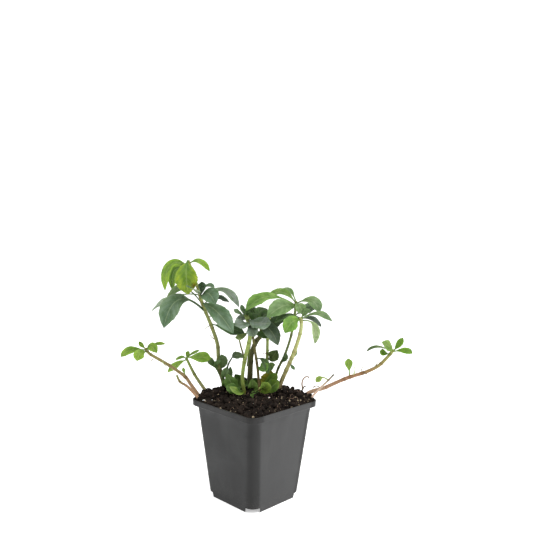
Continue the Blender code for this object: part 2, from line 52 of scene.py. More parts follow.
# ---- sizes: the pot's height and rim from the imported CAD pot's box, the rest as in the CAD source
pot_low, pot_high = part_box("pot")
pot_height = pot_high.z
rim_width = pot_high.x - pot_low.x
rim_corner_radius = 0.0096
rim_band_height = 0.0056
rim_overhang = 0.0040
base_width = 0.0640
base_corner_radius = 0.0090
pot_wall = 0.0012
foot_height = 0.0045
foot_notch_width = 0.0134
foot_notch_depth = 0.0150
drain_hole_diameter = 0.0040
corner_steps = 12
shoulder_z = pot_height - rim_band_height
shoulder_width = rim_width - 2 * rim_overhang
rim_corner_reach = rim_width / math.sqrt(2) - (math.sqrt(2) - 1) * rim_corner_radius
plant_turn = Matrix.Rotation(math.radians(45), 4, "Z")
fit_gap = 0.0003
soil_gap = 0.0003
soil_edge_drop = 0.0020
soil_mound = 0.0015
soil_heap = 0.0065
soil_heap_reach = 0.040
soil_half = rim_width / 2 - pot_wall - soil_gap
petiole_width = 0.0013

# ---- the layout in millimetres, as in the CAD source
LEAF_OUTLINE = ((0, 0.1), (0.22, 0.52), (0.42, 0.84), (0.62, 1), (0.8, 0.8), (0.93, 0.36))
# Points are across, away and above the rim, from the pot's middle on side 0 and from a rim corner
# on sides -1 and 1. Each stem: side, radius at the foot, radius at the tip, slot, points.
STEMS = {
    "tall_left_stem": (0, 2.3, 1.3, "olive_stem", (
        (-28, 16, -3), (-30, 15, 9), (-35, 13, 26), (-36, 12, 40), (-37, 10, 52), (-42, 8, 68),
        (-48, 6, 83), (-52, 5, 94), (-56, 5, 108), (-65, 5, 133))),
    "centre_stem": (0, 1.8, 2, "green_stem", (
        (-9, 10, -3), (-12, 8, 17), (-10, 4, 37), (-6, 3, 54), (-5, 3, 63), (-6, 4, 73), (-9, 5, 81))),
    "brown_stem": (0, 3, 1.6, "brown_bark", (
        (-6, 22, -3), (-5, 20, 18), (-4, 19, 39), (1, 18, 53), (6, 16, 60), (5, 14, 71), (3, 13, 78))),
    "thin_stem": (0, 1.4, 1.1, "olive_stem", (
        (5, 10, -3), (3, 9, 25), (0, 8, 45), (-2, 8, 58), (-3, 8, 71))),
    "back_stem": (0, 1.6, 1.3, "green_stem", (
        (12, 30, -3), (12, 26, 30), (12, 22, 53), (12, 18, 66), (14, 14, 77))),
    "right_thin_stem": (0, 1.3, 1.2, "green_stem", (
        (17, 24, -3), (22, 22, 22), (29, 18, 39), (35, 12, 60), (38, 8, 81), (39, 5, 95))),
    "right_main_stem": (0, 2.3, 1.5, "pale_stem", (
        (20, 14, -3), (26, 12, 14), (32, 8, 30), (38, 4, 46), (43, 0, 64), (44, -3, 75), (43, -5, 81))),
    "left_runner": (-1, 1.8, 1.3, "runner_bark", (
        (10, 3, -4), (-2, 4, 12), (-8, 2, 21), (-21, 0, 31), (-34, -4, 40), (-41, -6, 45),
        (-44, -8, 50))),
    "left_twig": (-1, 1.5, 1, "runner_bark", (
        (11, -3, -4), (-4, -4, 12), (-11, -8, 18), (-14, -10, 25))),
    "left_shoot": (-1, 1.8, 1.2, "green_stem", (
        (18, 9, -4), (7, 13, 10), (0, 14, 20), (-5, 12, 31), (-8, 12, 37))),
    "right_runner": (1, 2, 1.4, "runner_bark", (
        (-16, 5, -5), (-7, 6, 5), (8, 6, 10), (13, 4, 13), (30, 0, 22), (48, -3, 29), (58, -5, 35),
        (65, -6, 42), (70, -6, 48), (72, -6, 51))),
    "right_twig": (1, 1.2, 0.8, "runner_bark", (
        (-11, -1, -5), (1, -1, 9), (11, -3, 20), (16, -4, 26))),
}
# The leaves of each stem: place along it counted in its points, middle, tip, width, the way the
# face looks, the stalk's share of the length, slot.
LIGHT, MID, DARK = "light_leaf", "mid_leaf", "dark_leaf"
LEAVES = {
    "tall_left_stem": {
        "top_leaf_front": (9, (-65, -11, 122), (-63, -8, 102), 22, (0, -1, 0.25), 0.1, LIGHT),
        "top_leaf_right": (8.9, (-54, 10, 132), (-45, 15, 122), 8, (0.25, -0.75, 0.6), 0.1, LIGHT),
        "top_leaf_left": (8.8, (-81, -2, 129), (-85, -8, 105), 14, (-0.7, -0.75, 0.3), 0.1, LIGHT),
        "top_leaf_left_back": (8.6, (-79, 14, 123), (-81, 16, 102), 11, (-0.4, -0.85, 0.3), 0.12, LIGHT),
        "mid_leaf_long_left": (6.2, (-72, -10, 97), (-85, -16, 71), 22, (-0.25, -0.8, 0.55), 0.28, DARK),
        "mid_leaf_left_back": (6.9, (-72, 9, 106), (-87, 10, 89), 13, (-0.3, -0.5, 0.8), 0.26, DARK),
        "mid_leaf_far_left": (7.5, (-80, 22, 96), (-105, 28, 80), 12, (-0.1, -0.5, 0.85), 0.3, DARK),
        "mid_leaf_front": (7.3, (-44, -14, 104), (-36, -24, 95), 18, (0.1, -0.85, 0.55), 0.05, DARK),
        "mid_leaf_front_right": (6.8, (-36, -9, 86), (-20, -17, 67), 19, (0.3, -0.8, 0.5), 0.04, DARK),
        "mid_leaf_long_right": (7.3, (-32, 14, 104), (-16, 8, 88), 12, (0.35, -0.35, 0.8), 0.2, DARK),
        "mid_leaf_right_back": (6.7, (-38, 16, 96), (-26, 20, 91), 9, (0.1, -0.5, 0.9), 0.25, DARK),
        "lower_leaf_right": (5.2, (-26, 1, 69), (-10, -3, 65), 13, (0.1, -0.8, 0.6), 0.12, DARK),
        "stem_leaf_right": (2, (-31, 9, 33), (-33, 7, 42), 10, (0.1, -0.95, 0.2), 0.08, MID),
    },
    "centre_stem": {
        "centre_leaf_front_left": (5.1, (-11, -7, 75), (-20, -11, 74), 17, (-0.1, -0.65, 0.75), 0.08, DARK),
        "centre_leaf_front_right": (5.4, (4, -10, 76), (15, -17, 77), 20, (0.05, -0.7, 0.7), 0.08, DARK),
        "front_oval_leaf": (0.4, (-15, -3, 7), (-24, -7, 14), 8, (-0.1, -0.6, 0.8), 0.08, LIGHT),
        "clump_leaf_left": (0.65, (-21, 7, 11), (-27, 7, 23), 14, (-0.25, -0.93, 0.3), 0.06, MID),
        "curled_leaf": (2.1, (-16, -1, 43), (-22, -3, 41), 9, (-0.2, -0.7, 0.7), 0.05, MID),
    },
    "brown_stem": {
        "rosette_leaf_right": (5.4, (9, 11, 81), (16, 8, 78), 12, (0.2, -0.6, 0.75), 0.08, MID),
        "clump_leaf_back": (0.6, (-14, 20, 11), (-20, 18, 20), 12, (-0.1, -0.93, 0.4), 0.12, DARK),
    },
    "thin_stem": {
        "centre_leaf_down": (4, (12, -6, 71), (22, -12, 55), 15, (0.2, -0.9, 0.3), 0.12, DARK),
        "centre_leaf_under": (3.3, (6, 8, 62), (16, 6, 59), 11, (0.1, -0.6, 0.8), 0.1, DARK),
        "yellow_leaf_back": (0.3, (12, 13, 13), (16, 14, 25), 16, (0.1, -0.95, 0.3), 0.06, LIGHT),
        "yellow_leaf_right": (0.25, (16, 3, 11), (23, 0, 19), 13, (0.2, -0.85, 0.5), 0.06, LIGHT),
        "yellow_leaf_front": (0.25, (10, -3, 11), (7, -6, 18), 13, (0, -0.95, 0.3), 0.06, LIGHT),
    },
    "back_stem": {
        "oval_leaf": (1.15, (17, 22, 36), (22, 21, 44), 12, (0, -1, 0.2), 0.12, DARK),
        "low_leaf_mid": (0.72, (15, 21, 26), (20, 18, 30), 9, (0.1, -0.8, 0.6), 0.1, LIGHT),
    },
    "right_thin_stem": {
        "right_leaf_upper_left": (4.7, (12, 0, 100), (-9, -8, 87), 17, (-0.15, -0.6, 0.8), 0.26, MID),
        "right_leaf_upper_thin": (4.9, (25, 12, 103), (10, 18, 95), 13, (-0.1, -0.55, 0.85), 0.1, MID),
        "right_leaf_front": (4.5, (27, -6, 92), (11, -16, 82), 18, (-0.15, -0.85, 0.5), 0.04, MID),
        "right_leaf_right_upper": (4.85, (54, 3, 96), (61, -1, 85), 14, (0.25, -0.65, 0.75), 0.15, MID),
        "right_leaf_grey": (4, (50, 10, 87), (58, 8, 87), 12, (0.1, -0.75, 0.65), 0.08, MID),
    },
    "right_main_stem": {
        "right_leaf_long": (5.7, (59, -8, 85), (73, -10, 78), 10, (0.15, -0.4, 0.95), 0.12, MID),
        "right_leaf_dark_back": (5.7, (55, 4, 78), (64, 6, 70), 10, (0.3, -0.6, 0.8), 0.15, DARK),
        "right_leaf_hanging": (5.4, (57, -4, 73), (57, -4, 55), 8, (-0.15, -0.95, 0.2), 0.25, LIGHT),
        "right_leaf_dark_left": (5.9, (31, -8, 83), (18, -12, 76), 10, (0, -0.35, 1), 0.15, DARK),
        "right_leaf_light": (5.5, (35, -14, 78), (28, -18, 68), 15, (-0.1, -0.95, 0.3), 0.1, LIGHT),
        "right_leaf_low_left": (5.6, (26, 4, 79), (12, 2, 66), 13, (-0.1, -0.8, 0.5), 0.25, DARK),
    },
    "left_runner": {
        "left_tip_leaf_far": (5.7, (-58, -8, 48), (-67, -10, 42), 10, (-0.1, -0.75, 0.65), 0.12, LIGHT),
        "left_tip_leaf_front": (5.4, (-48, -14, 46), (-50, -18, 40), 11, (0, -0.9, 0.4), 0.1, LIGHT),
        "left_tip_leaf_right": (5.7, (-38, -12, 53), (-32, -14, 47), 10, (0.15, -0.75, 0.65), 0.1, LIGHT),
    },
    "left_shoot": {
        "shoot_leaf_right": (4, (6, 7, 39), (17, 5, 38), 12, (0, -0.8, 0.6), 0.1, LIGHT),
        "shoot_leaf_left": (3.7, (-16, 10, 31), (-26, 8, 23), 9, (-0.2, -0.7, 0.7), 0.15, MID),
    },
    "right_runner": {
        "right_tip_leaf_up": (8.9, (77, -6, 56), (81, -6, 63), 7, (0.2, -0.9, 0.3), 0.1, LIGHT),
        "right_tip_leaf_right": (8.6, (82, -10, 51), (89, -12, 49), 8, (0.1, -0.7, 0.7), 0.1, LIGHT),
        "right_tip_leaf_pale": (8.8, (67, -11, 55), (59, -15, 60), 11, (-0.05, -0.8, 0.6), 0.05, LIGHT),
    },
}
# Young leaves that are grown together with their stem.
YOUNG_LEAVES = {
    "tall_left_stem": {
        "top_leaf_back": (8.4, (-75, 20, 125), (-80, 26, 108), 9, (-0.4, -0.6, 0.5), 0.15, LIGHT),
        "mid_leaf_left_young": (7.5, (-55, -13, 106), (-64, -22, 112), 9, (-0.1, -0.4, 0.9), 0.1, DARK),
        "mid_leaf_front_young": (7.4, (-51, -1, 108), (-51, -5, 114), 8, (0, -0.9, 0.3), 0.1, DARK),
        "mid_leaf_right_young": (7.9, (-45, 8, 109), (-40, 10, 107), 7, (0.1, -0.5, 0.8), 0.12, DARK),
        "stem_leaf_left": (1.9, (-42, 10, 33), (-47, 8, 38), 7, (-0.2, -0.8, 0.6), 0.1, MID),
        "stem_leaf_low": (1.2, (-26, 10, 19), (-24, 8, 30), 7, (0.2, -0.9, 0.3), 0.1, MID),
    },
    "centre_stem": {
        "centre_leaf_young_left": (5.9, (-16, 2, 84), (-21, 2, 87), 6, (-0.2, -0.6, 0.8), 0.1, DARK),
        "centre_leaf_young_top": (5.95, (-12, 6, 86), (-14, 6, 91), 5, (0, -0.9, 0.4), 0.1, DARK),
        "centre_leaf_light": (4.4, (-12, -3, 62), (-19, -5, 61), 8, (-0.1, -0.6, 0.8), 0.15, LIGHT),
        "clump_leaf_low": (0.42, (-20, 1, 9), (-27, -2, 14), 11, (-0.1, -0.85, 0.5), 0.06, DARK),
        "centre_leaf_front_mid": (4.9, (-3, -12, 70), (0, -16, 64), 12, (0.05, -0.95, 0.3), 0.1, DARK),
        "centre_leaf_back": (5.5, (-12, 9, 77), (-19, 11, 76), 11, (-0.1, -0.6, 0.8), 0.06, DARK),
    },
    "brown_stem": {
        "rosette_leaf_left": (5.6, (-4, 13, 81), (-13, 13, 82), 14, (-0.1, -0.65, 0.75), 0.06, MID),
        "rosette_leaf_back": (5.8, (5, 19, 83), (12, 25, 84), 12, (0.1, -0.5, 0.85), 0.06, MID),
        "clump_leaf_right": (0.45, (-1, 15, 11), (1, 13, 18), 11, (0.2, -0.9, 0.3), 0.06, MID),
        "rosette_leaf_front": (5.3, (1, 8, 78), (-3, 5, 74), 14, (0, -0.75, 0.65), 0.06, MID),
        "rosette_leaf_inner": (5.7, (-1, 17, 82), (-6, 22, 85), 11, (-0.1, -0.5, 0.85), 0.06, DARK),
    },
    "thin_stem": {
        "low_leaf_dark": (1.6, (9, 4, 36), (13, 2, 24), 8, (0.3, -0.9, 0.4), 0.15, DARK),
    },
    "right_thin_stem": {
        "right_leaf_top": (5, (32, 17, 105), (23, 25, 102), 9, (0, -0.3, 1), 0.12, MID),
        "small_leaf_left": (1.6, (29, 16, 36), (31, 15, 42), 6, (-0.1, -0.95, 0.2), 0.1, MID),
        "right_leaf_front_low": (4.85, (42, -6, 92), (45, -5, 84), 11, (0.2, -0.9, 0.4), 0.05, MID),
    },
    "right_main_stem": {
        "right_leaf_young": (5.85, (47, -9, 86), (52, -13, 88), 7, (0.1, -0.85, 0.5), 0.1, MID),
        "small_leaf_right": (2.3, (36, 6, 31), (39, 5, 28), 4.5, (0.4, -0.8, 0.4), 0.15, DARK),
        "pale_leaf_right": (2.6, (38, 8, 42), (40, 10, 48), 5, (0.2, -0.9, 0.2), 0.15, LIGHT),
    },
    "left_runner": {
        "left_tip_leaf_up": (5.95, (-48, -4, 52), (-51, -4, 56), 4.5, (0, -0.9, 0.3), 0.1, LIGHT),
        "left_tip_leaf_thin": (5.8, (-36, 2, 52), (-27, 4, 52), 5, (0, -0.5, 0.9), 0.1, LIGHT),
        "runner_bud_leaf": (2, (-9, 2, 26), (-9, 1, 30), 3.5, (0, -0.9, 0.4), 0.2, MID),
    },
    "left_shoot": {
        "shoot_leaf_back": (3.9, (-13, 18, 36), (-20, 20, 33), 5, (-0.1, -0.5, 0.8), 0.1, LIGHT),
        "shoot_leaf_up": (4, (-7, 14, 40), (-5, 14, 43), 5, (0, -0.9, 0.3), 0.1, LIGHT),
        "shoot_leaf_thin": (3.95, (-2, 20, 40), (4, 24, 42), 4, (0, -0.6, 0.8), 0.1, MID),
    },
    "right_runner": {
        "right_tip_leaf_left": (8.5, (57, -3, 53), (47, -2, 48), 5, (-0.1, -0.4, 0.9), 0.12, LIGHT),
        "right_tip_leaf_low": (7.7, (62, -10, 49), (58, -12, 51), 7, (-0.1, -0.9, 0.4), 0.1, LIGHT),
        "runner_leaf": (4.12, (31, 0, 33), (30, 0, 41), 8, (0.1, -0.95, 0.3), 0.25, LIGHT),
    },
    "right_twig": {
        "round_pale_leaf": (2, (5, -1, 22), (-1, -3, 18), 6, (-0.1, -0.9, 0.3), 0.4, LIGHT),
    },
}

# Small leaves that only the looks have.
SMALL_LEAVES = {
    "tall_left_stem": {
        "clump_leaf_side": (0.75, (-28, 9, 10), (-31, 6, 17), 9, (-0.2, -0.9, 0.4), 0.08, DARK),
        "stem_leaf_foot": (1.35, (-30, 8, 22), (-26, 6, 30), 7, (0.3, -0.85, 0.4), 0.1, MID),
        "stem_leaf_dry": (1.6, (-38, 8, 31), (-32, 5, 36), 5, (0.1, -0.7, 0.7), 0.15, MID),
    },
    "centre_stem": {
        "rosette_leaf_side": (5.8, (-7, 2, 84), (-3, 1, 86), 8, (0.1, -0.8, 0.6), 0.08, DARK),
    },
    "brown_stem": {
        "clump_leaf_middle": (0.55, (-2, 10, 8), (-3, 8, 18), 11, (0.05, -0.9, 0.4), 0.08, DARK),
        "clump_leaf_far": (0.9, (-10, 16, 10), (-13, 14, 18), 9, (-0.2, -0.9, 0.4), 0.08, DARK),
        "rosette_leaf_small": (5.9, (-4, 14, 87), (1, 12, 89), 9, (0.1, -0.7, 0.7), 0.08, DARK),
    },
    "thin_stem": {
        "clump_leaf_floor": (0.3, (0, 2, 3), (-4, -3, 3), 7, (0, -0.5, 0.85), 0.1, DARK),
        "low_leaf_fold": (1.2, (7, 4, 30), (13, 3, 34), 10, (0.1, -0.9, 0.3), 0.1, MID),
        "yellow_leaf_right_small": (0.35, (16, 8, 18), (22, 7, 23), 9, (0.2, -0.9, 0.3), 0.08, LIGHT),
    },
}

# ---- looks of each leaf and stem
def linear(*rgb):
    """An sRGB colour of 0 to 255 as linear values."""
    return tuple((c / 255 / 12.92) if c < 10.3 else ((c / 255 + 0.055) / 1.055) ** 2.4 for c in rgb)


# Colour near the leaf's base and near its tip, by the start of the leaf's name.
LEAF_TINTS = (
    ("top_leaf_front", (96, 142, 60), (160, 186, 54)),
    ("top_leaf_back", (70, 88, 58), (78, 96, 60)),
    ("top_leaf_left_back", (92, 132, 40), (108, 146, 40)),
    ("top_leaf", (132, 166, 74), (152, 188, 46)),
    ("mid_leaf_left_back", (104, 132, 72), (120, 144, 88)),
    ("mid_leaf_far_left", (140, 160, 130), (168, 184, 160)),
    ("mid_leaf_long_right", (116, 134, 100), (132, 142, 136)),
    ("mid_leaf_right_back", (84, 106, 80), (84, 108, 84)),
    ("mid_leaf", (84, 108, 70), (108, 134, 108)),
    ("lower_leaf", (96, 124, 84), (70, 96, 60)),
    ("centre_leaf_light", (176, 196, 124), (186, 204, 140)),
    ("centre_leaf_down", (84, 100, 84), (96, 112, 92)),
    ("centre_leaf_under", (80, 112, 56), (90, 124, 60)),
    ("centre_leaf_young", (112, 138, 96), (104, 132, 92)),
    ("centre_leaf", (112, 128, 112), (134, 146, 134)),
    ("rosette", (84, 116, 58), (74, 104, 54)),
    ("right_leaf_upper_left", (140, 176, 84), (122, 162, 76)),
    ("right_leaf_upper_thin", (126, 158, 74), (132, 164, 78)),
    ("right_leaf_front", (128, 158, 94), (122, 152, 98)),
    ("right_leaf_light", (138, 178, 78), (134, 176, 78)),
    ("right_leaf_hanging", (190, 214, 150), (210, 226, 176)),
    ("right_leaf_dark_left", (82, 114, 62), (96, 126, 74)),
    ("right_leaf_low_left", (66, 90, 56), (78, 100, 66)),
    ("right_leaf_dark_back", (84, 104, 84), (80, 94, 90)),
    ("right_leaf_grey", (140, 160, 132), (124, 146, 120)),
    ("right_leaf", (130, 158, 98), (122, 148, 104)),
    ("oval_leaf", (84, 104, 52), (92, 112, 56)),
    ("low_leaf_fold", (104, 150, 60), (120, 160, 72)),
    ("low_leaf_mid", (112, 146, 72), (120, 152, 84)),
    ("low_leaf", (74, 104, 56), (84, 112, 60)),
    ("yellow_leaf_back", (112, 140, 50), (164, 160, 44)),
    ("yellow_leaf_right", (84, 116, 40), (118, 148, 52)),
    ("yellow_leaf_front", (150, 174, 70), (134, 162, 62)),
    ("front_oval", (132, 160, 58), (164, 188, 96)),
    ("clump_leaf_middle", (110, 138, 64), (122, 150, 76)),
    ("clump_leaf", (92, 124, 54), (104, 138, 64)),
    ("curled", (120, 142, 96), (76, 92, 76)),
    ("stem_leaf_foot", (112, 138, 88), (126, 150, 104)),
    ("stem_leaf", (96, 118, 66), (106, 132, 84)),
    ("small_leaf", (84, 112, 70), (94, 124, 76)),
    ("pale_leaf", (160, 180, 128), (172, 188, 150)),
    ("left_tip", (132, 166, 58), (156, 188, 66)),
    ("shoot_leaf", (146, 180, 76), (156, 190, 72)),
    ("right_tip_leaf_pale", (160, 186, 96), (136, 168, 88)),
    ("right_tip_leaf_left", (140, 162, 104), (96, 112, 84)),
    ("right_tip", (118, 160, 44), (126, 168, 44)),
    ("runner_", (150, 188, 76), (156, 190, 80)),
    ("round_pale", (190, 206, 118), (196, 210, 112)),
)
# Colour of the margin and how much of it there is, by the start of the leaf's name. The yellow margins are
# the leaves' own colour; the grey margins of the dark mid_leaf and centre_leaf_front leaves are painted
# sheen.
LEAF_MARGINS = (
    ("top_leaf_front", (176, 192, 52), 0.80),
    ("top_leaf_left", (150, 186, 38), 0.75),
    ("top_leaf_right", (150, 186, 44), 0.75),
    ("yellow_leaf_back", (196, 176, 40), 0.55),
    ("yellow_leaf_front", (164, 184, 78), 0.55),
    ("mid_leaf_long", (140, 158, 130), 0.40),
    ("mid_leaf_front", (126, 150, 128), 0.40),
    ("centre_leaf_front", (150, 164, 154), 0.45),
)
BROWN_SPOT = (150, 84, 36)
# Colour at the foot, half way and at the tip.
STEM_TINTS = {
    "tall_left_stem": ((92, 96, 50), (136, 143, 84), (152, 166, 92)),
    "centre_stem": ((122, 138, 62), (168, 190, 104), (142, 164, 92)),
    "brown_stem": ((76, 70, 40), (96, 100, 58), (112, 116, 66)),
    "thin_stem": ((104, 84, 54), (118, 112, 62), (126, 132, 74)),
    "back_stem": ((138, 148, 88), (162, 182, 104), (170, 192, 112)),
    "right_thin_stem": ((74, 76, 40), (112, 128, 66), (132, 154, 84)),
    "right_main_stem": ((138, 112, 82), (186, 190, 124), (196, 206, 136)),
    "left_runner": ((170, 134, 104), (138, 124, 80), (140, 142, 80)),
    "left_twig": ((176, 136, 108), (150, 124, 92), (120, 130, 70)),
    "left_shoot": ((150, 140, 104), (138, 148, 84), (134, 160, 74)),
    "right_runner": ((196, 166, 142), (160, 122, 88), (146, 166, 84)),
    "right_twig": ((226, 196, 182), (206, 186, 164), (84, 88, 70)),
}


def placed(side, point):
    """A layout point of the plant, in metres on the plant's own axes."""
    across, away, up = point
    return Vector((side * rim_corner_reach + across * MM, away * MM, pot_height + up * MM))


def spline(points, place):
    """A smooth curve through the points, at a place counted in points."""
    last = len(points) - 1
    k = min(int(place), last - 1)
    t = place - k
    b, c = points[k], points[k + 1]
    a = points[k - 1] if k > 0 else b + (b - c)
    d = points[k + 2] if k + 2 <= last else c + (c - b)
    return (b * 2 + (c - a) * t + (a * 2 - b * 5 + c * 4 - d) * t**2
            + (b * 3 - a - c * 3 + d) * t**3) / 2


def spline_way(points, place):
    """The way that the curve runs at a place."""
    last = len(points) - 1
    low = max(place - 0.02, 0)
    high = min(place + 0.02, last)
    return (spline(points, high) - spline(points, low)).normalized()


def smooth(low, high, x):
    """A soft step from 0 at low to 1 at high."""
    x = np.clip((x - low) / (high - low), 0, 1)
    return x * x * (3 - 2 * x)


def piece(name, points, faces, material, replaced=(), points_data=None, sharp=60):
    """A smooth mesh piece on the root body, with its named point attributes."""
    mesh = bpy.data.meshes.new(name)
    mesh.from_pydata([tuple(p) for p in points], [], faces)
    for key, values in (points_data or {}).items():
        values = np.asarray(values, np.float32)
        kind = "FLOAT_VECTOR" if values.ndim == 2 else "FLOAT"
        made = mesh.attributes.new(key, kind, "POINT")
        made.data.foreach_set("vector" if values.ndim == 2 else "value", values.ravel())
    mesh.shade_smooth()
    mesh.set_sharp_from_angle(angle=math.radians(sharp))
    mesh.materials.append(material)
    made = bpy.data.objects.new(name, mesh)
    bpy.context.scene.collection.objects.link(made)
    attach(made, "root")
    if replaced:
        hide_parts(*replaced)


# ---- materials
class Nodes:
    """Short calls that add shader nodes to one material."""

    def __init__(self, name):
        self.material = bpy.data.materials.new(name)
        self.material.use_nodes = True
        self.tree = self.material.node_tree
        self.shader = self.tree.nodes["Principled BSDF"]
        self.output = self.tree.nodes["Material Output"]

    def put(self, socket, value):
        if isinstance(value, bpy.types.NodeSocket):
            self.tree.links.new(value, socket)
        elif socket.type == "RGBA" and len(value) == 3:
            socket.default_value = (*value, 1.0)
        else:
            socket.default_value = value

    def add(self, kind, output=0, settings=None, **inputs):
        node = self.tree.nodes.new(kind)
        for key, value in (settings or {}).items():
            setattr(node, key, value)
        for key, value in inputs.items():
            self.put(node.inputs[key.replace("_", " ")], value)
        return node.outputs[output]

    def math(self, operation, *values):
        node = self.tree.nodes.new("ShaderNodeMath")
        node.operation = operation
        for socket, value in zip(node.inputs, values):
            self.put(socket, value)
        return node.outputs[0]

    def plus(self, *values):
        return self.math("ADD", *values)

    def minus(self, *values):
        return self.math("SUBTRACT", *values)

    def times(self, *values):
        return self.math("MULTIPLY", *values)

    def size(self, value):
        return self.math("ABSOLUTE", value)

    def mix(self, share, a, b, blend="MIX"):
        node = self.tree.nodes.new("ShaderNodeMix")
        node.data_type = "RGBA"
        node.blend_type = blend
        self.put(node.inputs[0], share)
        self.put(node.inputs[6], a)
        self.put(node.inputs[7], b)
        return node.outputs[2]

    def tinted(self, colour, by):
        return self.mix(1.0, colour, by, "MULTIPLY")

    def ramp(self, value, low, high, to_low=0.0, to_high=1.0):
        node = self.tree.nodes.new("ShaderNodeMapRange")
        node.interpolation_type = "SMOOTHSTEP"
        for socket, given in zip(node.inputs, (value, low, high, to_low, to_high)):
            self.put(socket, given)
        return node.outputs[0]

    def attribute(self, name, output="Fac"):
        node = self.tree.nodes.new("ShaderNodeAttribute")
        node.attribute_name = name
        return node.outputs[output]

    def noise(self, scale, detail=4.0, rough=0.55, stretch=None, distort=0.0):
        where = self.add("ShaderNodeTexCoord", 3)
        if stretch:
            node = self.tree.nodes.new("ShaderNodeMapping")
            self.put(node.inputs["Vector"], where)
            node.inputs["Scale"].default_value = stretch
            where = node.outputs[0]
        return self.add("ShaderNodeTexNoise", 0, Vector=where, Scale=scale, Detail=detail,
                        Roughness=rough, Distortion=distort)

    def bump(self, height, distance, strength):
        node = self.tree.nodes.new("ShaderNodeBump")
        node.inputs["Strength"].default_value = strength
        node.inputs["Distance"].default_value = distance
        self.put(node.inputs["Height"], height)
        return node.outputs[0]

    def set(self, **inputs):
        for key, value in inputs.items():
            self.put(self.shader.inputs[key.replace("_", " ")], value)
        return self.material


LEAF_SHADE = 0.70
STEM_SHADE = 0.80
VEIN_PAIRS = 5.0
VEIN_SWEEP = 1.7


def leaf_material(name, vein_light, gloss, through):
    """A leaf with a pale midrib and side veins, a paler back, and light shining through it."""
    n = Nodes(name)
    tint = n.attribute("tint", "Color")
    along = n.attribute("along")
    side = n.attribute("side")
    under = n.attribute("under")
    width = n.size(side)
    wobble = n.times(n.minus(n.noise(900, 2.0), 0.5), 0.35)
    phase = n.minus(n.times(along, VEIN_PAIRS), n.times(width, VEIN_SWEEP))
    phase = n.math("FRACT", n.plus(phase, wobble))
    off_middle = n.size(n.minus(phase, 0.5))
    lateral = n.times(n.ramp(off_middle, 0.40, 0.49), n.ramp(width, 0.98, 0.75))
    midrib = n.ramp(width, 0.075, 0.02)
    veins = n.math("MAXIMUM", midrib, n.times(lateral, 0.55))
    blotch = n.noise(130, 4.0, 0.6)
    fine = n.noise(1500, 3.0)
    # Painted shade: the blade is darkened along its side veins, in the creases between the raised pillows.
    painted_crease_shade = n.times(n.ramp(off_middle, 0.12, 0.44), n.ramp(width, 0.02, 0.18))
    blotched = n.ramp(blotch, 0.36, 0.66, 0.0, 0.9)
    colour = n.mix(blotched, n.tinted(tint, (1.12, 1.10, 1.14)), n.tinted(tint, (0.58, 0.72, 0.50)))
    colour = n.mix(n.times(painted_crease_shade, 0.55), colour, n.tinted(colour, (0.58, 0.70, 0.54)))
    colour = n.mix(n.ramp(fine, 0.35, 0.7, 0.0, 0.35), colour, n.tinted(colour, (0.66, 0.74, 0.64)))
    edge = n.ramp(width, 0.86, 1.0, 0.0, 0.30)
    colour = n.mix(edge, colour, n.mix(0.45, colour, (0.42, 0.50, 0.24)))
    colour = n.mix(n.times(veins, vein_light), colour, n.mix(0.55, colour, (0.50, 0.58, 0.30)))
    colour = n.mix(under, colour, n.mix(0.42, colour, (0.40, 0.46, 0.28)))
    rough = n.ramp(n.noise(420, 4.0), 0.25, 0.75, gloss - 0.07, gloss + 0.12)
    rough = n.plus(rough, n.times(under, 0.16))
    relief = n.minus(n.times(fine, 0.25), n.times(veins, 0.6))
    relief = n.plus(relief, n.times(n.noise(700, 3.0), 0.35))
    normal = n.bump(relief, 0.00022, 0.55)
    n.set(Base_Color=colour, Roughness=rough, Normal=normal, Specular_IOR_Level=0.22)
    glow = n.mix(0.35, colour, (0.48, 0.62, 0.08))
    behind = n.add("ShaderNodeBsdfTranslucent", Color=glow, Normal=normal)
    both = n.tree.nodes.new("ShaderNodeMixShader")
    both.inputs[0].default_value = through
    n.put(both.inputs[1], n.shader.outputs[0])
    n.put(both.inputs[2], behind)
    n.put(n.output.inputs["Surface"], both.outputs[0])
    return n.material


def stem_material(name, streak, gloss):
    """A streaked and speckled stem that is dark at its leaf scars."""
    n = Nodes(name)
    tint = n.attribute("tint", "Color")
    scar = n.attribute("scar")
    ridge = n.attribute("round")
    along = n.attribute("along")
    where = n.add("ShaderNodeCombineXYZ", X=n.times(ridge, 2.2), Y=n.times(along, 5.0))
    streaks = n.add("ShaderNodeTexNoise", Vector=where, Scale=7.0, Detail=5.0, Roughness=0.6)
    specks = n.noise(1400, 2.0)
    dark = n.tinted(tint, (0.56, 0.52, 0.42))
    colour = n.mix(n.ramp(streaks, 0.38, 0.68, 0.0, streak), tint, dark)
    colour = n.mix(n.ramp(specks, 0.60, 0.72, 0.0, 0.45), colour, n.mix(0.5, colour, (0.50, 0.46, 0.32)))
    colour = n.mix(n.times(scar, 0.65), colour, n.tinted(tint, (0.42, 0.34, 0.24)))
    rough = n.ramp(n.noise(500, 3.0), 0.3, 0.7, gloss, gloss + 0.18)
    relief = n.plus(n.times(streaks, 0.7), n.times(specks, 0.3))
    n.set(Base_Color=colour, Roughness=rough, Normal=n.bump(relief, 0.00025, 0.6), Specular_IOR_Level=0.20)
    n.set(Subsurface_Weight=0.08, Subsurface_Scale=0.001)
    return n.material


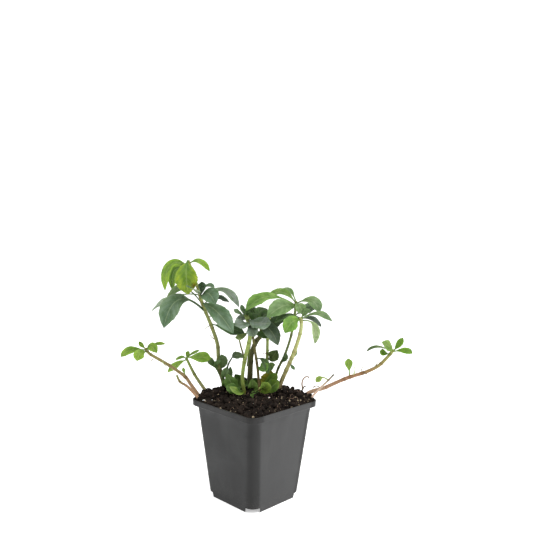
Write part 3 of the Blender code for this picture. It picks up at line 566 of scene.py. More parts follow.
def pot_material():
    """Black smudged, streaked plastic, with painted light on the faces towards +x and +y and painted shade
    on the other faces and on the rounded corners.
    """
    n = Nodes("pot_plastic")
    smudge = n.noise(30, 5.0, 0.66, distort=0.8)
    streaks = n.noise(60, 4.0, 0.6, stretch=(1.0, 1.0, 0.12))
    grain = n.noise(4200, 2.0)
    dust = n.noise(900, 3.0, 0.7)
    node = n.tree.nodes.new("ShaderNodeSeparateXYZ")
    n.put(node.inputs[0], n.add("ShaderNodeTexCoord", 3))
    x, y, up = node.outputs
    inner = n.math("MINIMUM", n.size(x), n.size(y))
    share = n.times(up, 1 / shoulder_z)
    flat = base_width / 2 - base_corner_radius
    flat_rise = shoulder_width / 2 - rim_corner_radius - flat
    edge = n.minus(inner, n.plus(n.times(share, flat_rise), flat))
    corner = n.ramp(edge, -0.0022, 0.0016)
    colour = n.mix(n.ramp(smudge, 0.35, 0.7, 0.0, 0.6), (0.014, 0.0145, 0.015), (0.027, 0.0275, 0.028))
    colour = n.mix(n.ramp(streaks, 0.48, 0.74, 0.0, 0.4), colour, (0.038, 0.038, 0.037))
    # Painted light and shade: the faces towards +x and +y are mixed toward grey as if lit, and the other
    # faces are darkened to 0.55 as if in shade.
    painted_lit_side = n.ramp(n.plus(x, y), -0.004, 0.004)
    painted_lit_colour = n.mix(0.25, colour, (0.09, 0.09, 0.09))
    colour = n.mix(painted_lit_side, n.tinted(colour, (0.55, 0.55, 0.55)), painted_lit_colour)
    # Painted shade: the rounded corners are darkened nearly to black.
    colour = n.mix(n.times(corner, 0.80), colour, (0.005, 0.005, 0.005))
    low_dust = n.times(n.ramp(up, 0.030, 0.0, 0.0, 0.35), n.ramp(dust, 0.5, 0.75))
    colour = n.mix(low_dust, colour, (0.10, 0.09, 0.075))
    crumbs = n.times(n.ramp(up, pot_height - 0.009, pot_height, 0.0, 0.55), n.ramp(dust, 0.56, 0.70))
    colour = n.mix(crumbs, colour, (0.05, 0.036, 0.028))
    rough = n.ramp(smudge, 0.3, 0.7, 0.40, 0.60)
    relief = n.plus(n.times(grain, 0.35), n.times(streaks, 0.4))
    normal = n.bump(relief, 0.00010, 0.5)
    return n.set(Base_Color=colour, Roughness=rough, Specular_IOR_Level=0.27, Normal=normal)


def soil_material(name, light):
    """Damp soil, as light as its number says."""
    n = Nodes(name)
    big = n.noise(120, 5.0, 0.65)
    small = n.noise(1100, 4.0, 0.7)
    wet, dry, fleck = (
        tuple(c * light for c in rgb)
        for rgb in ((0.0045, 0.0033, 0.0027), (0.016, 0.011, 0.0082), (0.048, 0.033, 0.023))
    )
    colour = n.mix(n.ramp(big, 0.35, 0.68), wet, dry)
    colour = n.mix(n.ramp(small, 0.54, 0.76, 0.0, 0.6), colour, fleck)
    rough = n.ramp(small, 0.3, 0.7, 0.72, 0.98)
    relief = n.plus(n.times(small, 0.6), n.times(big, 0.4))
    normal = n.bump(relief, 0.0006, 0.9)
    return n.set(Base_Color=colour, Roughness=rough, Specular_IOR_Level=0.08, Normal=normal)


def plain_material(name, low, high, scale, rough, distance, scatter=0.0):
    """Patches between two colours, with a little relief."""
    n = Nodes(name)
    patches = n.noise(scale, 4.0, 0.6)
    relief = n.noise(scale * 3, 3.0)
    n.set(Base_Color=n.mix(n.ramp(patches, 0.3, 0.7), low, high))
    n.set(Roughness=n.ramp(relief, 0.3, 0.7, rough - 0.08, rough + 0.08))
    n.set(Subsurface_Weight=scatter, Subsurface_Scale=0.001)
    return n.set(Normal=n.bump(relief, distance, 0.7))


# How light the veins are, how dull the leaf is and how much light it lets through.
LEAF_LOOKS = {DARK: (0.24, 0.46, 0.10), MID: (0.26, 0.46, 0.15), LIGHT: (0.28, 0.48, 0.22)}
# How strong the streaks are and how dull the stem is.
STEM_LOOKS = {
    "olive_stem": (0.55, 0.42),
    "green_stem": (0.40, 0.40),
    "pale_stem": (0.45, 0.42),
    "brown_bark": (0.75, 0.55),
    "runner_bark": (0.70, 0.45),
}
LEAF_LOOKS = {slot: leaf_material(slot, *look) for slot, look in LEAF_LOOKS.items()}
STEM_LOOKS = {slot: stem_material(slot, *look) for slot, look in STEM_LOOKS.items()}


# ---- leaves
def outline_table():
    """The CAD leaf's half width along its blade, smoothed between its stations."""
    shares = np.linspace(0, 1, 201)
    known = list(LEAF_OUTLINE) + [(1.0, 0.0)]
    half = np.interp(shares, [k[0] for k in known], [k[1] for k in known])
    reach = 12
    padded = np.concatenate([2 * half[0] - half[reach:0:-1], half, 2 * half[-1] - half[-2:-reach - 2:-1]])
    window = np.hanning(2 * reach + 3)[1:-1]
    return shares, np.convolve(padded, window / window.sum(), "valid")


OUTLINE = outline_table()
BLADE_THICK = 0.00034
MARGIN_RISE = 0.16
TOOTH_DEPTH = 0.07
TOOTH_START = 0.46
TOOTH_END = 0.95
PILLOW = 0.035
GROOVE_DEPTH, GROOVE_REACH = 0.00035, 0.0008
RIDGE_HEIGHT, RIDGE_REACH = 0.00055, 0.0006


def tint_of(name):
    """The leaf's colour near its base and near its tip."""
    for start, base, tip in LEAF_TINTS:
        if name.startswith(start):
            return np.array(linear(*base)), np.array(linear(*tip))
    raise ValueError(name)


def leaf_points(start, bend, tip, face, width, petiole, chance, rows, columns, wavy):
    """Closed rings across the leaf from its stalk to its tip, with their attributes."""
    teeth = chance.choice((3, 4, 4, 5))
    tooth_shift = chance.random()
    wave = chance.uniform(0.03, 0.09) * wavy
    wave_count = chance.uniform(1.2, 2.2)
    wave_shift = chance.uniform(0, math.tau)
    twist = chance.uniform(-0.10, 0.10)
    stalk = petiole_width / 2
    share = np.linspace(0, 1, rows + 1)[:-1]
    blade = np.clip((share - petiole) / (1 - petiole), 0, 1)
    half = np.interp(blade, *OUTLINE) * width / 2
    tooth = np.mod((blade - TOOTH_START) / (TOOTH_END - TOOTH_START) * teeth + tooth_shift, 1.0)
    toothed = smooth(TOOTH_START, TOOTH_START + 0.08, blade)
    toothed = toothed * (1 - smooth(TOOTH_END - 0.05, TOOTH_END, blade))
    half = half * (1 + TOOTH_DEPTH * (tooth - 0.6) * toothed)
    half = np.maximum(half, stalk * (1 - 0.6 * smooth(0.9, 1.0, blade)))
    flat = smooth(0.0, 0.16, blade)
    top_s = np.linspace(-1, 1, columns + 1)
    s = np.concatenate([top_s, top_s[-2:0:-1]])
    over = np.concatenate([np.ones(columns + 1), -np.ones(columns - 1)])
    over[0] = over[columns] = 0
    points = []
    rising = np.array(face) / np.linalg.norm(face)
    a, b, c = (np.array(v) for v in (start, bend, tip))
    for k, t in enumerate(share):
        centre = a * (1 - t) ** 2 + b * 2 * t * (1 - t) + c * t * t
        along = (b - a) * (1 - t) + (c - b) * t
        along /= np.linalg.norm(along)
        up = rising - along * rising.dot(along)
        up /= np.linalg.norm(up)
        across = np.cross(along, up)
        turn = twist * blade[k] * 2
        up, across = (up * math.cos(turn) + across * math.sin(turn),
                      across * math.cos(turn) - up * math.sin(turn))
        h = half[k]
        round_thick = stalk * np.sqrt(np.clip(1 - s * s, 0, 1))
        flat_thick = BLADE_THICK / 2 * (1 - 0.5 * s * s)
        thick = round_thick * (1 - flat[k]) + flat_thick * flat[k]
        lift = MARGIN_RISE * h * np.abs(s) ** 1.7
        lift += wave * h * s * s * np.sin(math.tau * blade[k] * wave_count + wave_shift + s)
        phase = np.mod(blade[k] * VEIN_PAIRS - np.abs(s) * VEIN_SWEEP, 1.0)
        pillow = 1 - (2 * np.abs(phase - 0.5)) ** 4
        lift += PILLOW * h * pillow * (1 - np.abs(s) ** 3) * smooth(0.05, 0.3, blade[k])
        lift -= GROOVE_DEPTH * np.exp(-((s * h / GROOVE_REACH) ** 2)) * (1 - 0.6 * blade[k])
        lift *= flat[k]
        under = over < 0
        ridge = RIDGE_HEIGHT * np.exp(-((s * h / RIDGE_REACH) ** 2)) * (1 - 0.8 * blade[k]) * flat[k]
        raise_by = lift + over * thick - np.where(under, ridge, 0)
        points.append(centre + np.outer(s * h, across) + np.outer(raise_by, up))
    rings = np.array(points)
    count = len(s)
    flat_points = np.concatenate([rings.reshape(-1, 3), [np.array(tip)], [rings[0].mean(axis=0)]])
    faces = []
    for ring in range(rows - 1):
        low = ring * count
        for k in range(count):
            after = (k + 1) % count
            faces.append((low + k, low + count + k, low + count + after, low + after))
    end = rows * count
    faces += [(end - count + k, end, end - count + (k + 1) % count) for k in range(count)]
    faces += [((k + 1) % count, end + 1, k) for k in range(count)]
    data = {
        "along": np.concatenate([np.repeat(blade, count), [1, 0]]),
        "side": np.concatenate([np.tile(s, rows), [0, 0]]),
        "under": np.concatenate([np.tile((over < 0).astype(float), rows), [0, 0]]),
    }
    return flat_points, faces, data


def make_leaf(name, stem_name, leaf, grown):
    """A leaf's looks, bent between its stem, its middle and its tip as the CAD leaf is."""
    place, middle, tip, width, face, petiole, slot = leaf
    side, foot, head, _, layout = STEMS[stem_name]
    points = [placed(side, p) for p in layout]
    axis = spline(points, place)
    way = spline_way(points, place)
    middle = placed(side, middle)
    tip = placed(side, tip)
    out = middle - axis
    out = (out - way * out.dot(way)).normalized()
    radius = (foot + (head - foot) * place / (len(layout) - 1)) * MM
    # The stalk's end sits in the stem, where the two grow together.
    start = axis + out * radius * 0.6
    cad_start = axis + out * (0.3 * radius if grown else radius + fit_gap + petiole_width / 4)
    bend = middle * 2 - (cad_start + tip) / 2
    chance = random.Random(name)
    big = width >= 8
    rows, columns = (46, 14) if big else (30, 10)
    wavy = 2.8 if name.startswith("centre_leaf_front") else 1.3
    shaped, faces, data = leaf_points(
        start, bend, tip, face, width * MM, petiole, chance, rows, columns, wavy)
    base, end = tint_of(name)
    base, end = base * LEAF_SHADE, end * LEAF_SHADE
    along = data["along"][:, None]
    tints = base * (1 - along) + end * along
    side = data["side"][:, None]
    outer = smooth(0.15, 0.95, np.abs(side))
    # Painted shade and light: each leaf is darkened towards its midrib (x0.84) and lightened towards its
    # edges (x1.14).
    tints = tints * (1 + chance.uniform(-0.06, 0.06)) * (0.84 + 0.30 * outer)
    for start_of, margin, share in LEAF_MARGINS:
        if name.startswith(start_of):
            tints = tints + (np.array(linear(*margin)) * LEAF_SHADE - tints) * share * outer**1.5
    if name == "top_leaf_front":
        brown = np.exp(-((along - 0.80) / 0.05) ** 2 - ((side + 0.70) / 0.16) ** 2)
        tints = tints + (np.array(linear(*BROWN_SPOT)) * LEAF_SHADE - tints) * 0.85 * brown
    data["tint"] = tints
    turned = np.array([plant_turn @ Vector(p) for p in shaped])
    if not grown:
        low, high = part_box(name)
        off = max(np.abs(turned.min(axis=0) - np.array(low)).max(),
                  np.abs(turned.max(axis=0) - np.array(high)).max())
        if off > BOX_SLACK:
            raise ValueError(f"the box of {name} is {off:.4f} off its CAD leaf's box")
    replaced = (stem_name,) if grown else (name,)
    piece(name + "_look", turned, faces, LEAF_LOOKS[slot], replaced, data, sharp=70)


# ---- stems
SCAR_SPACING = 0.017
SCAR_REACH = 1.1 * MM
SCAR_SWELL = 0.16


def ring_faces(count, bands):
    """The faces between rings of as many points each, as rows of four."""
    faces = []
    for low in range(0, bands * count, count):
        for k in range(count):
            after = (k + 1) % count
            faces.append((low + k, low + after, low + count + after, low + count + k))
    return faces


def tube(points, radius_of, spacing, sides, scars, reach, bumpy=0.04, seed=0.0):
    """A closed, slightly uneven tube along a spline, with a swelling at each scar."""
    last = len(points) - 1
    length = sum((b - a).length for a, b in zip(points, points[1:]))
    count = max(8, int(length / spacing))
    across = Vector((1, 0, 0))
    made, along, around, scarred = [], [], [], []
    for ring in range(count + 1):
        place = last * ring / count
        middle = spline(points, place)
        way = spline_way(points, place)
        across = (across - way * across.dot(way)).normalized()
        other = way.cross(across)
        near = sum(math.exp(-(((place - s) / last * length / SCAR_REACH) ** 2)) for s in scars)
        near = min(near, 1.0)
        for k in range(sides):
            angle = math.tau * k / sides
            spoke = across * math.cos(angle) + other * math.sin(angle)
            rough = noise.noise(middle * 260 + spoke * 1.4 + Vector((seed, 0, 0)))
            ridges = 0.035 * math.cos(5 * angle + 3 * place)
            radius = radius_of(place) * (1 + bumpy * rough + ridges + SCAR_SWELL * near)
            made.append(middle + spoke * radius)
            along.append(place / last)
            around.append(math.sin(angle / 2) * 2)
            scarred.append(near)
    faces = ring_faces(sides, count)
    end = len(made)
    first_way, last_way = spline_way(points, 0), spline_way(points, last)
    made.append(points[0] - first_way * radius_of(0) * 0.4)
    made.append(points[-1] + last_way * radius_of(last) * reach)
    along += [0, 1]
    around += [0, 0]
    scarred += [0, 0]
    faces += [((k + 1) % sides, k, end) for k in range(sides)]
    top = count * sides
    faces += [(top + k, top + (k + 1) % sides, end + 1) for k in range(sides)]
    return made, faces, {"along": along, "round": around, "scar": scarred}


def three_tints(colours, along):
    """Colours along a stem, from its foot over its middle to its tip."""
    low, middle, high = (np.array(linear(*c)) for c in colours)
    along = np.asarray(along)[:, None]
    first = np.clip(along * 2, 0, 1)
    second = np.clip(along * 2 - 1, 0, 1)
    return ((low * (1 - first) + middle * first) * (1 - second) + high * second) * STEM_SHADE


def make_stem(name):
    """A stem with a scar at each leaf and old scars between them."""
    side, foot, head, slot, layout = STEMS[name]
    points = [placed(side, p) for p in layout]
    last = len(points) - 1
    scars = [leaf[0] for group in (LEAVES, YOUNG_LEAVES) for leaf in group.get(name, {}).values()]
    chance = random.Random(name)
    length = sum((b - a).length for a, b in zip(points, points[1:]))
    scars += [
        (k + chance.uniform(0.3, 0.7)) * SCAR_SPACING / length * last
        for k in range(1, int(length / SCAR_SPACING))
    ]
    made, faces, data = tube(
        points, lambda place: (foot + (head - foot) * place / last) * MM, 0.0011, 16, scars,
        0.6, seed=chance.uniform(0, 50))
    data["tint"] = three_tints(STEM_TINTS[name], data["along"])
    turned = [plant_turn @ p for p in made]
    piece(name + "_look", turned, faces, STEM_LOOKS[slot], (name,), data)


# Bracts, dry curls and thin stalks: slot, radius, colours at the foot, half way and at the tip, and
# points across, away and above the rim from the pot's middle.
DRY_GREEN = ((110, 112, 66), (140, 142, 100), (146, 148, 116))
DRY_BROWN = ((104, 84, 58), (110, 92, 66), (84, 72, 56))
PALE_GREEN = ((180, 196, 140), (188, 204, 150), (170, 186, 130))
BITS = {
    "left_bract_high": ("olive_stem", 0.45, DRY_GREEN,
     ((-42.5, 7, 70.6), (-44.8, 6, 69.8), (-46.7, 5, 68.5), (-48.6, 5, 67.2))),
    "left_bract_low": ("olive_stem", 0.45, DRY_GREEN,
     ((-40.2, 9, 56.5), (-42, 8, 58.2), (-43.5, 8, 59.7), (-44.7, 8, 61.1))),
    "left_stub": ("olive_stem", 0.5, DRY_GREEN,
     ((-44.4, 6, 78.6), (-42.8, 4, 80.4), (-41.7, 3, 82.5), (-42.2, 3, 84.9))),
    "hub_stalk_left": ("olive_stem", 1, ((104, 104, 56), (112, 112, 64), (130, 136, 80)),
     ((-9.6, 5, 33.1), (-11.6, 4, 43.2), (-14.1, 3, 52.2), (-15.7, 2, 60.1), (-16.5, 1, 66.1))),
    "hub_stalk_back": ("green_stem", 0.9, ((96, 112, 50), (110, 134, 60), (130, 156, 80)),
     ((-7.4, 12, 29.5), (-6, 12, 43.5), (-4.2, 12, 55.4), (-3.3, 12, 67.3))),
    "back_twig": ("brown_bark", 0.35, DRY_BROWN,
     ((7.2, 20, 40.4), (9.7, 20, 40.7), (12.7, 21, 39.7), (15.2, 22, 39.9))),
    "back_twig_up": ("olive_stem", 0.35, DRY_GREEN,
     ((13.1, 22, 42.6), (15.1, 21, 44.8), (16.6, 21, 46.8), (18, 20, 48.6))),
    "dry_curl": ("runner_bark", 0.85, ((186, 160, 140), (172, 146, 124), (130, 108, 92)),
     ((47.3, 8, 7.7), (46.2, 8, 13.2), (47.1, 8, 17.7), (49.5, 7, 20.5), (51.9, 7, 21), (52.9, 7, 19))),
    "dry_twig": ("brown_bark", 0.8, DRY_BROWN,
     ((45.3, 6, 4.8), (46.7, 6, 8.8), (48.5, 5, 11.6), (50.4, 4, 12.4))),
    "dry_loop": ("runner_bark", 0.6, ((150, 140, 120), (160, 150, 128), (150, 150, 120)),
     ((56.6, 3, 11.2), (59, 3, 12.7), (61.4, 2, 12.7), (64.3, 2, 11.3))),
    "runner_curl": ("green_stem", 0.6, PALE_GREEN,
     ((94.8, -3, 26), (95.9, -3, 28.9), (96.1, -3, 31.6), (94.9, -3, 33.5), (93.2, -3, 33.1))),
    "runner_bract": ("runner_bark", 0.4, DRY_GREEN,
     ((101.8, -4, 29.7), (102.5, -4, 31.9), (103.1, -4, 33.2), (104.3, -4, 34.6))),
    "runner_bract_low": ("brown_bark", 0.5, DRY_BROWN,
     ((104.2, -4, 28.8), (105.3, -6, 28.3), (106.6, -6, 27.6), (107.7, -6, 26.9))),
    "runner_bract_end": ("olive_stem", 0.4, DRY_GREEN,
     ((114.9, -5, 34.5), (116.1, -6, 37.2), (117.3, -6, 38.3), (118.6, -6, 39.1))),
    "left_bract_runner": ("olive_stem", 0.4, DRY_GREEN,
     ((-97.1, -5, 39.8), (-97.9, -7, 38.4), (-98.5, -8, 38), (-99.6, -8, 37.7))),
    "left_bract_middle": ("green_stem", 0.4, PALE_GREEN,
     ((-84.7, -2, 31.4), (-86.8, -4, 33.8), (-87.7, -4, 35.3), (-87.7, -4, 37.2))),
    "twig_bract": ("green_stem", 0.45, PALE_GREEN,
     ((-70.4, -8, 18.1), (-69, -8, 19.5), (-67.5, -9, 20.3), (-66, -9, 19.5))),
    "twig_bract_low": ("green_stem", 0.4, PALE_GREEN,
     ((-71.9, -8, 20), (-73.3, -8, 20.9), (-74, -8, 22.3), (-73.6, -8, 23.8))),
    "low_dark_stalk": ("olive_stem", 1.0, ((70, 84, 56), (66, 84, 60), (62, 84, 64)),
     ((-27.1, 6, 28.7), (-25.1, 4, 34.2), (-22.6, 2, 39.1), (-20.2, 1, 42.7))),
}


def make_bits():
    """The small things that are too thin for the CAD model."""
    for name, (slot, radius, colours, layout) in BITS.items():
        points = [placed(0, p) for p in layout]
        last = len(points) - 1
        made, faces, data = tube(
            points, lambda place: radius * MM * (1 - 0.4 * place / last), 0.0006, 10, (), 1.0, 0.06)
        data["tint"] = three_tints(colours, data["along"])
        piece(name, [plant_turn @ p for p in made], faces, STEM_LOOKS[slot], (), data)


# ---- pot
def rounded_square(width, radius, z):
    """A ring of points round a square with rounded corners."""
    inner = width / 2 - radius
    ring = []
    for corner in range(4):
        diagonal = math.radians(45 + 90 * corner)
        middle = Vector((math.cos(diagonal), math.sin(diagonal), 0)) * inner * math.sqrt(2)
        for step in range(corner_steps + 1):
            angle = math.radians(90 * corner + 90 * step / corner_steps)
            spoke = Vector((math.cos(angle), math.sin(angle), 0)) * radius
            ring.append(middle + spoke + Vector((0, 0, z)))
    return ring


def loft(rings):
    """Points and faces of a closed solid through rings of as many points each."""
    count = len(rings[0])
    points = [p for ring in rings for p in ring]
    ends = [tuple(reversed(range(count))), tuple(range(len(points) - count, len(points)))]
    return points, ends + ring_faces(count, len(rings) - 1)


def solid(name, points, faces):
    """A closed mesh that isn't rendered, to be cut or to cut with."""
    mesh = bpy.data.meshes.new(name)
    mesh.from_pydata([tuple(p) for p in points], [], faces)
    made = bpy.data.objects.new(name, mesh)
    bpy.context.scene.collection.objects.link(made)
    made.hide_render = True
    return made


def cut(target, cutters):
    """Takes the cutters out of the target's mesh, then removes them."""
    for other in cutters:
        step = target.modifiers.new(other.name, "BOOLEAN")
        step.operation = "DIFFERENCE"
        step.solver = "EXACT"
        step.object = other
    bpy.context.view_layer.update()
    done = bpy.data.meshes.new_from_object(target.evaluated_get(bpy.context.evaluated_depsgraph_get()))
    target.modifiers.clear()
    target.data = done
    for other in cutters:
        bpy.data.objects.remove(other)


def corner_turns():
    """The turns that put a thing at each of the pot's four corners."""
    return [Matrix.Rotation(math.radians(45 + 90 * corner), 3, "Z") for corner in range(4)]


def corner_blocks(name, grown, height):
    """The blocks of the four corner notches, grown on all sides."""
    side = foot_notch_width / 2 + grown
    near = base_width / math.sqrt(2) - foot_notch_depth - grown
    outline = [(near, -side), (base_width, -side), (base_width, side), (near, side)]
    blocks = []
    for turn in corner_turns():
        rings = [[turn @ Vector((x, y, z)) for x, y in outline] for z in (-foot_height, height)]
        blocks.append(solid(name, *loft(rings)))
    return blocks


def drain_drills():
    """A drill through the roof of each corner notch."""
    corner_reach = base_width / math.sqrt(2) - (math.sqrt(2) - 1) * base_corner_radius
    notch_end = base_width / math.sqrt(2) - foot_notch_depth - pot_wall
    sides = 28
    drills = []
    for turn in corner_turns():
        foot = turn @ Vector(((corner_reach + notch_end) / 2, 0, 0))
        angles = [math.tau * k / sides for k in range(sides)]
        rings = [
            [foot + Vector((math.cos(a), math.sin(a), 0)) * drain_hole_diameter / 2 + Vector((0, 0, z))
             for a in angles]
            for z in (0, 2 * foot_height)
        ]
        drills.append(solid("drill", *loft(rings)))
    return drills


def make_pot():
    """The pot with its rim's rounded edges, the raised corner feet and the drain holes."""
    lip = 0.0005
    fillet = 0.0008
    shoulder_radius = rim_corner_radius - 0.0012
    less = 2 * pot_wall
    inner_radius = rim_corner_radius - pot_wall
    ledge = shoulder_z + pot_wall

    def between(low, high, share):
        return low + (high - low) * share

    outer = []
    for step in range(4):
        angle = math.radians(90 * step / 3)
        inward = lip * (1 - math.sin(angle))
        outer.append((base_width - 2 * inward, base_corner_radius - inward, lip * (1 - math.cos(angle))))
    for share in (0.15, 0.3, 0.45, 0.6, 0.75, 0.9):
        outer.append((between(base_width, shoulder_width, share),
                      between(base_corner_radius, shoulder_radius, share), shoulder_z * share))
    outer += [
        (shoulder_width, shoulder_radius, shoulder_z - fillet),
        (shoulder_width + 0.8 * fillet, shoulder_radius + 0.0003, shoulder_z - fillet * 0.25),
        (shoulder_width + 2 * fillet, shoulder_radius + 0.0006, shoulder_z),
        (rim_width - 2 * lip, rim_corner_radius - lip, shoulder_z),
        (rim_width - 0.0003, rim_corner_radius, shoulder_z + lip),
        (rim_width - 0.0004, rim_corner_radius, (shoulder_z + pot_height) / 2),
        (rim_width, rim_corner_radius, pot_height - lip),
        (rim_width - 0.3 * lip, rim_corner_radius - 0.15 * lip, pot_height - 0.3 * lip),
        (rim_width - lip, rim_corner_radius - 0.5 * lip, pot_height),
    ]
    pot = solid("pot_look", *loft([rounded_square(*ring) for ring in outer]))
    hollow_rings = [
        (base_width - less, base_corner_radius - pot_wall, pot_wall),
        (shoulder_width - less, inner_radius, ledge),
        (rim_width - less, inner_radius, ledge + 0.0004),
        (rim_width - less, inner_radius, pot_height - 0.3 * lip),
        (rim_width - less + lip, inner_radius + 0.5 * lip, pot_height + 0.0002),
        (rim_width - less + lip, inner_radius + 0.5 * lip, pot_height + 0.004),
    ]
    hollow = solid("hollow", *loft([rounded_square(*ring) for ring in hollow_rings]))
    cut(hollow, corner_blocks("floor_cut", pot_wall, foot_height + pot_wall))
    cut(pot, corner_blocks("foot_cut", 0, foot_height) + [hollow] + drain_drills())
    pot.hide_render = False
    pot.data.materials.clear()
    pot.data.materials.append(pot_material())
    pot.data.shade_smooth()
    pot.data.set_sharp_from_angle(angle=math.radians(32))
    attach(pot, "root")
    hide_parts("pot")


# ---- soil
SOIL_LUMP = 0.0022
SOIL_CLOD = 0.0042
SOIL_PIT = 0.0040
SOIL_LIFT = 0.0020


def in_pot(x, y, inset):
    """True where a point is inside the pot's rounded inner square, less an inset."""
    half = soil_half - inset
    corner = rim_corner_radius - pot_wall
    dx, dy = max(abs(x) - half + corner, 0), max(abs(y) - half + corner, 0)
    return math.hypot(dx, dy) <= corner


def soil_height(x, y):
    """The soil's top: a low mound that climbs to the sides and the back, with lumps and pits."""
    reach = min(max(abs(x), abs(y)) / soil_half, 1.0)
    edge = 1 - reach**6
    place = Vector((x, y, 0))
    lumps = noise.fractal(place * 90, 0.7, 2.1, 5) * SOIL_LUMP
    clods = max(noise.noise(place * 190 + Vector((3, 1, 7))), 0) * SOIL_CLOD
    pits = max(noise.noise(place * 160 + Vector((9, 4, 2))), 0) * SOIL_PIT
    climb = (y - x + 0.6 * abs(x + y)) / math.sqrt(2) / soil_heap_reach
    climb = min(max(climb, 0.0), 1.0)
    rise = soil_mound * (1 - reach**2) + soil_heap * climb**2 * (3 - 2 * climb) * (1 - reach**10)
    return pot_height - soil_edge_drop + rise + (SOIL_LIFT + lumps + clods - pits) * edge


def spot(chance, inset):
    """A random place on the soil, an inset away from the pot's wall."""
    while True:
        x, y = chance.uniform(-soil_half, soil_half), chance.uniform(-soil_half, soil_half)
        if in_pot(x, y, inset):
            return x, y


def rough_ball(chance):
    """A lumpy little ball of unit size."""
    shape = bmesh.new()
    bmesh.ops.create_icosphere(shape, subdivisions=2, radius=1.0)
    shift = Vector((chance.uniform(0, 50), 0, 0))
    points = []
    for v in shape.verts:
        lumps = 0.45 * noise.noise(v.co * 1.3 + shift) + 0.25 * noise.noise(v.co * 3.1 + shift)
        points.append(v.co * (1 + lumps))
    faces = [tuple(v.index for v in f.verts) for f in shape.faces]
    shape.free()
    return points, faces


def two_turns(chance, axis, most):
    """A turn about the upright after a random tip about the axis."""
    turn = Matrix.Rotation(chance.uniform(0, math.tau), 3, "Z")
    return turn @ Matrix.Rotation(chance.uniform(-most, most), 3, axis)


def one_grain(chance, shapes, sizes, sink, inset):
    """A crumb: its points and faces."""
    x, y = spot(chance, inset)
    size = chance.uniform(*sizes) * chance.uniform(0.6, 1.0)
    ball, faces = chance.choice(shapes)
    turn = two_turns(chance, "X", 0.7)
    grow = Vector((chance.uniform(0.7, 1.3), chance.uniform(0.7, 1.3), chance.uniform(0.55, 1.0)))
    middle = Vector((x, y, soil_height(x, y) + size * sink))
    return [middle + turn @ (p * grow) * size for p in ball], faces


def one_chip(chance, shapes):
    """A flat, long chip of bark that sticks up out of the soil: its points and faces."""
    x, y = spot(chance, 0.0022)
    ball, faces = chance.choice(shapes)
    length = chance.uniform(0.0010, 0.0026)
    turn = two_turns(chance, "Y", 1.3)
    middle = Vector((x, y, soil_height(x, y) + length * 0.35))
    wide, thin = length * chance.uniform(0.25, 0.5), length * chance.uniform(0.12, 0.25)
    return [middle + turn @ Vector((p.x * length, p.y * wide, p.z * thin)) for p in ball], faces


def one_fibre(chance):
    """A root hair or bark thread that lies on the soil: its points and faces."""
    steps = 7
    sides = 5
    px, py = spot(chance, 0.007)
    heading = chance.uniform(0, math.tau)
    length = chance.uniform(0.003, 0.008)
    bend = chance.uniform(-1.2, 1.2)
    radius = chance.uniform(0.00010, 0.00022)
    line = []
    for k in range(steps):
        angle = heading + bend * k / steps
        px += math.cos(angle) * length / steps
        py += math.sin(angle) * length / steps
        arch = math.sin(math.pi * k / (steps - 1)) * chance.uniform(0.0003, 0.0014)
        line.append(Vector((px, py, soil_height(px, py) + 0.0004 + arch)))
    rings = []
    for k, p in enumerate(line):
        way = (line[min(k + 1, steps - 1)] - line[max(k - 1, 0)]).normalized()
        across = way.orthogonal().normalized()
        other = way.cross(across)
        angles = [j * math.tau / sides for j in range(sides)]
        rings.append([p + (across * math.cos(a) + other * math.sin(a)) * radius for a in angles])
    points, faces = loft(rings)
    return points, faces[2:] + faces[:2]


def strew(name, material, shapes):
    """One piece of many little shapes, each given as its points and faces."""
    points, faces = [], []
    for more_points, more_faces in shapes:
        base = len(points)
        points += more_points
        faces += [tuple(base + v for v in face) for face in more_faces]
    piece(name, points, faces, material, sharp=180)


def make_soil():
    """The lumpy top of the soil: rings from the pot's wall to the middle, closed underneath."""
    rings = 66
    floor_z = shoulder_z + 0.003
    edge_ring = []
    corners = rounded_square(2 * soil_half, rim_corner_radius - pot_wall, 0)
    for a, b in zip(corners, corners[1:] + corners[:1]):
        pieces = 1 if (b - a).length < 0.004 else 60
        edge_ring += [a.lerp(b, j / pieces) for j in range(pieces)]
    count = len(edge_ring)
    points = [Vector((p.x, p.y, floor_z)) for p in edge_ring]
    for ring in range(rings):
        share = 1 - ring / rings
        for p in edge_ring:
            x, y = p.x * share, p.y * share
            points.append(Vector((x, y, soil_height(x, y))))
    points.append(Vector((0, 0, soil_height(0, 0))))
    points.append(Vector((0, 0, floor_z)))
    faces = ring_faces(count, rings)
    top = rings * count
    faces += [(top + k, top + (k + 1) % count, top + count) for k in range(count)]
    faces += [((k + 1) % count, k, top + count + 1) for k in range(count)]
    look = soil_material("potting_soil", 1.0)
    piece("soil_look", points, faces, look, ("soil",), sharp=180)


def make_loose_soil():
    """Crumbs, bark chips, light grit, perlite and fibres that lie on the soil."""
    chance = random.Random(5)
    balls = [rough_ball(chance) for _ in range(9)]

    def grains(number, *sizes_sink_inset):
        return [one_grain(chance, balls, *sizes_sink_inset) for _ in range(number)]

    crumbs = grains(1300, (0.0007, 0.0019), 0.3, 0.0012)
    crumbs += grains(420, (0.0015, 0.0032), 0.35, 0.0026)
    strew("soil_crumbs", soil_material("soil_crumbs", 1.25), crumbs)
    chips = [one_chip(chance, balls) for _ in range(420)]
    strew("soil_chips", soil_material("soil_chips", 2.4), chips)
    grit = plain_material("grit", (0.045, 0.032, 0.018), (0.30, 0.235, 0.145), 260, 0.8, 0.0002)
    strew("soil_grit", grit, grains(330, (0.0005, 0.0013), 0.55, 0.0018))
    perlite = plain_material("perlite", (0.62, 0.58, 0.54), (0.80, 0.78, 0.75), 900, 0.7, 0.0003, 0.2)
    strew("soil_perlite", perlite, grains(30, (0.0005, 0.0014), 0.8, 0.002))
    fibres = plain_material("fibres", (0.11, 0.06, 0.04), (0.30, 0.19, 0.13), 500, 0.7, 0.0002)
    strew("soil_fibres", fibres, [one_fibre(chance) for _ in range(170)])


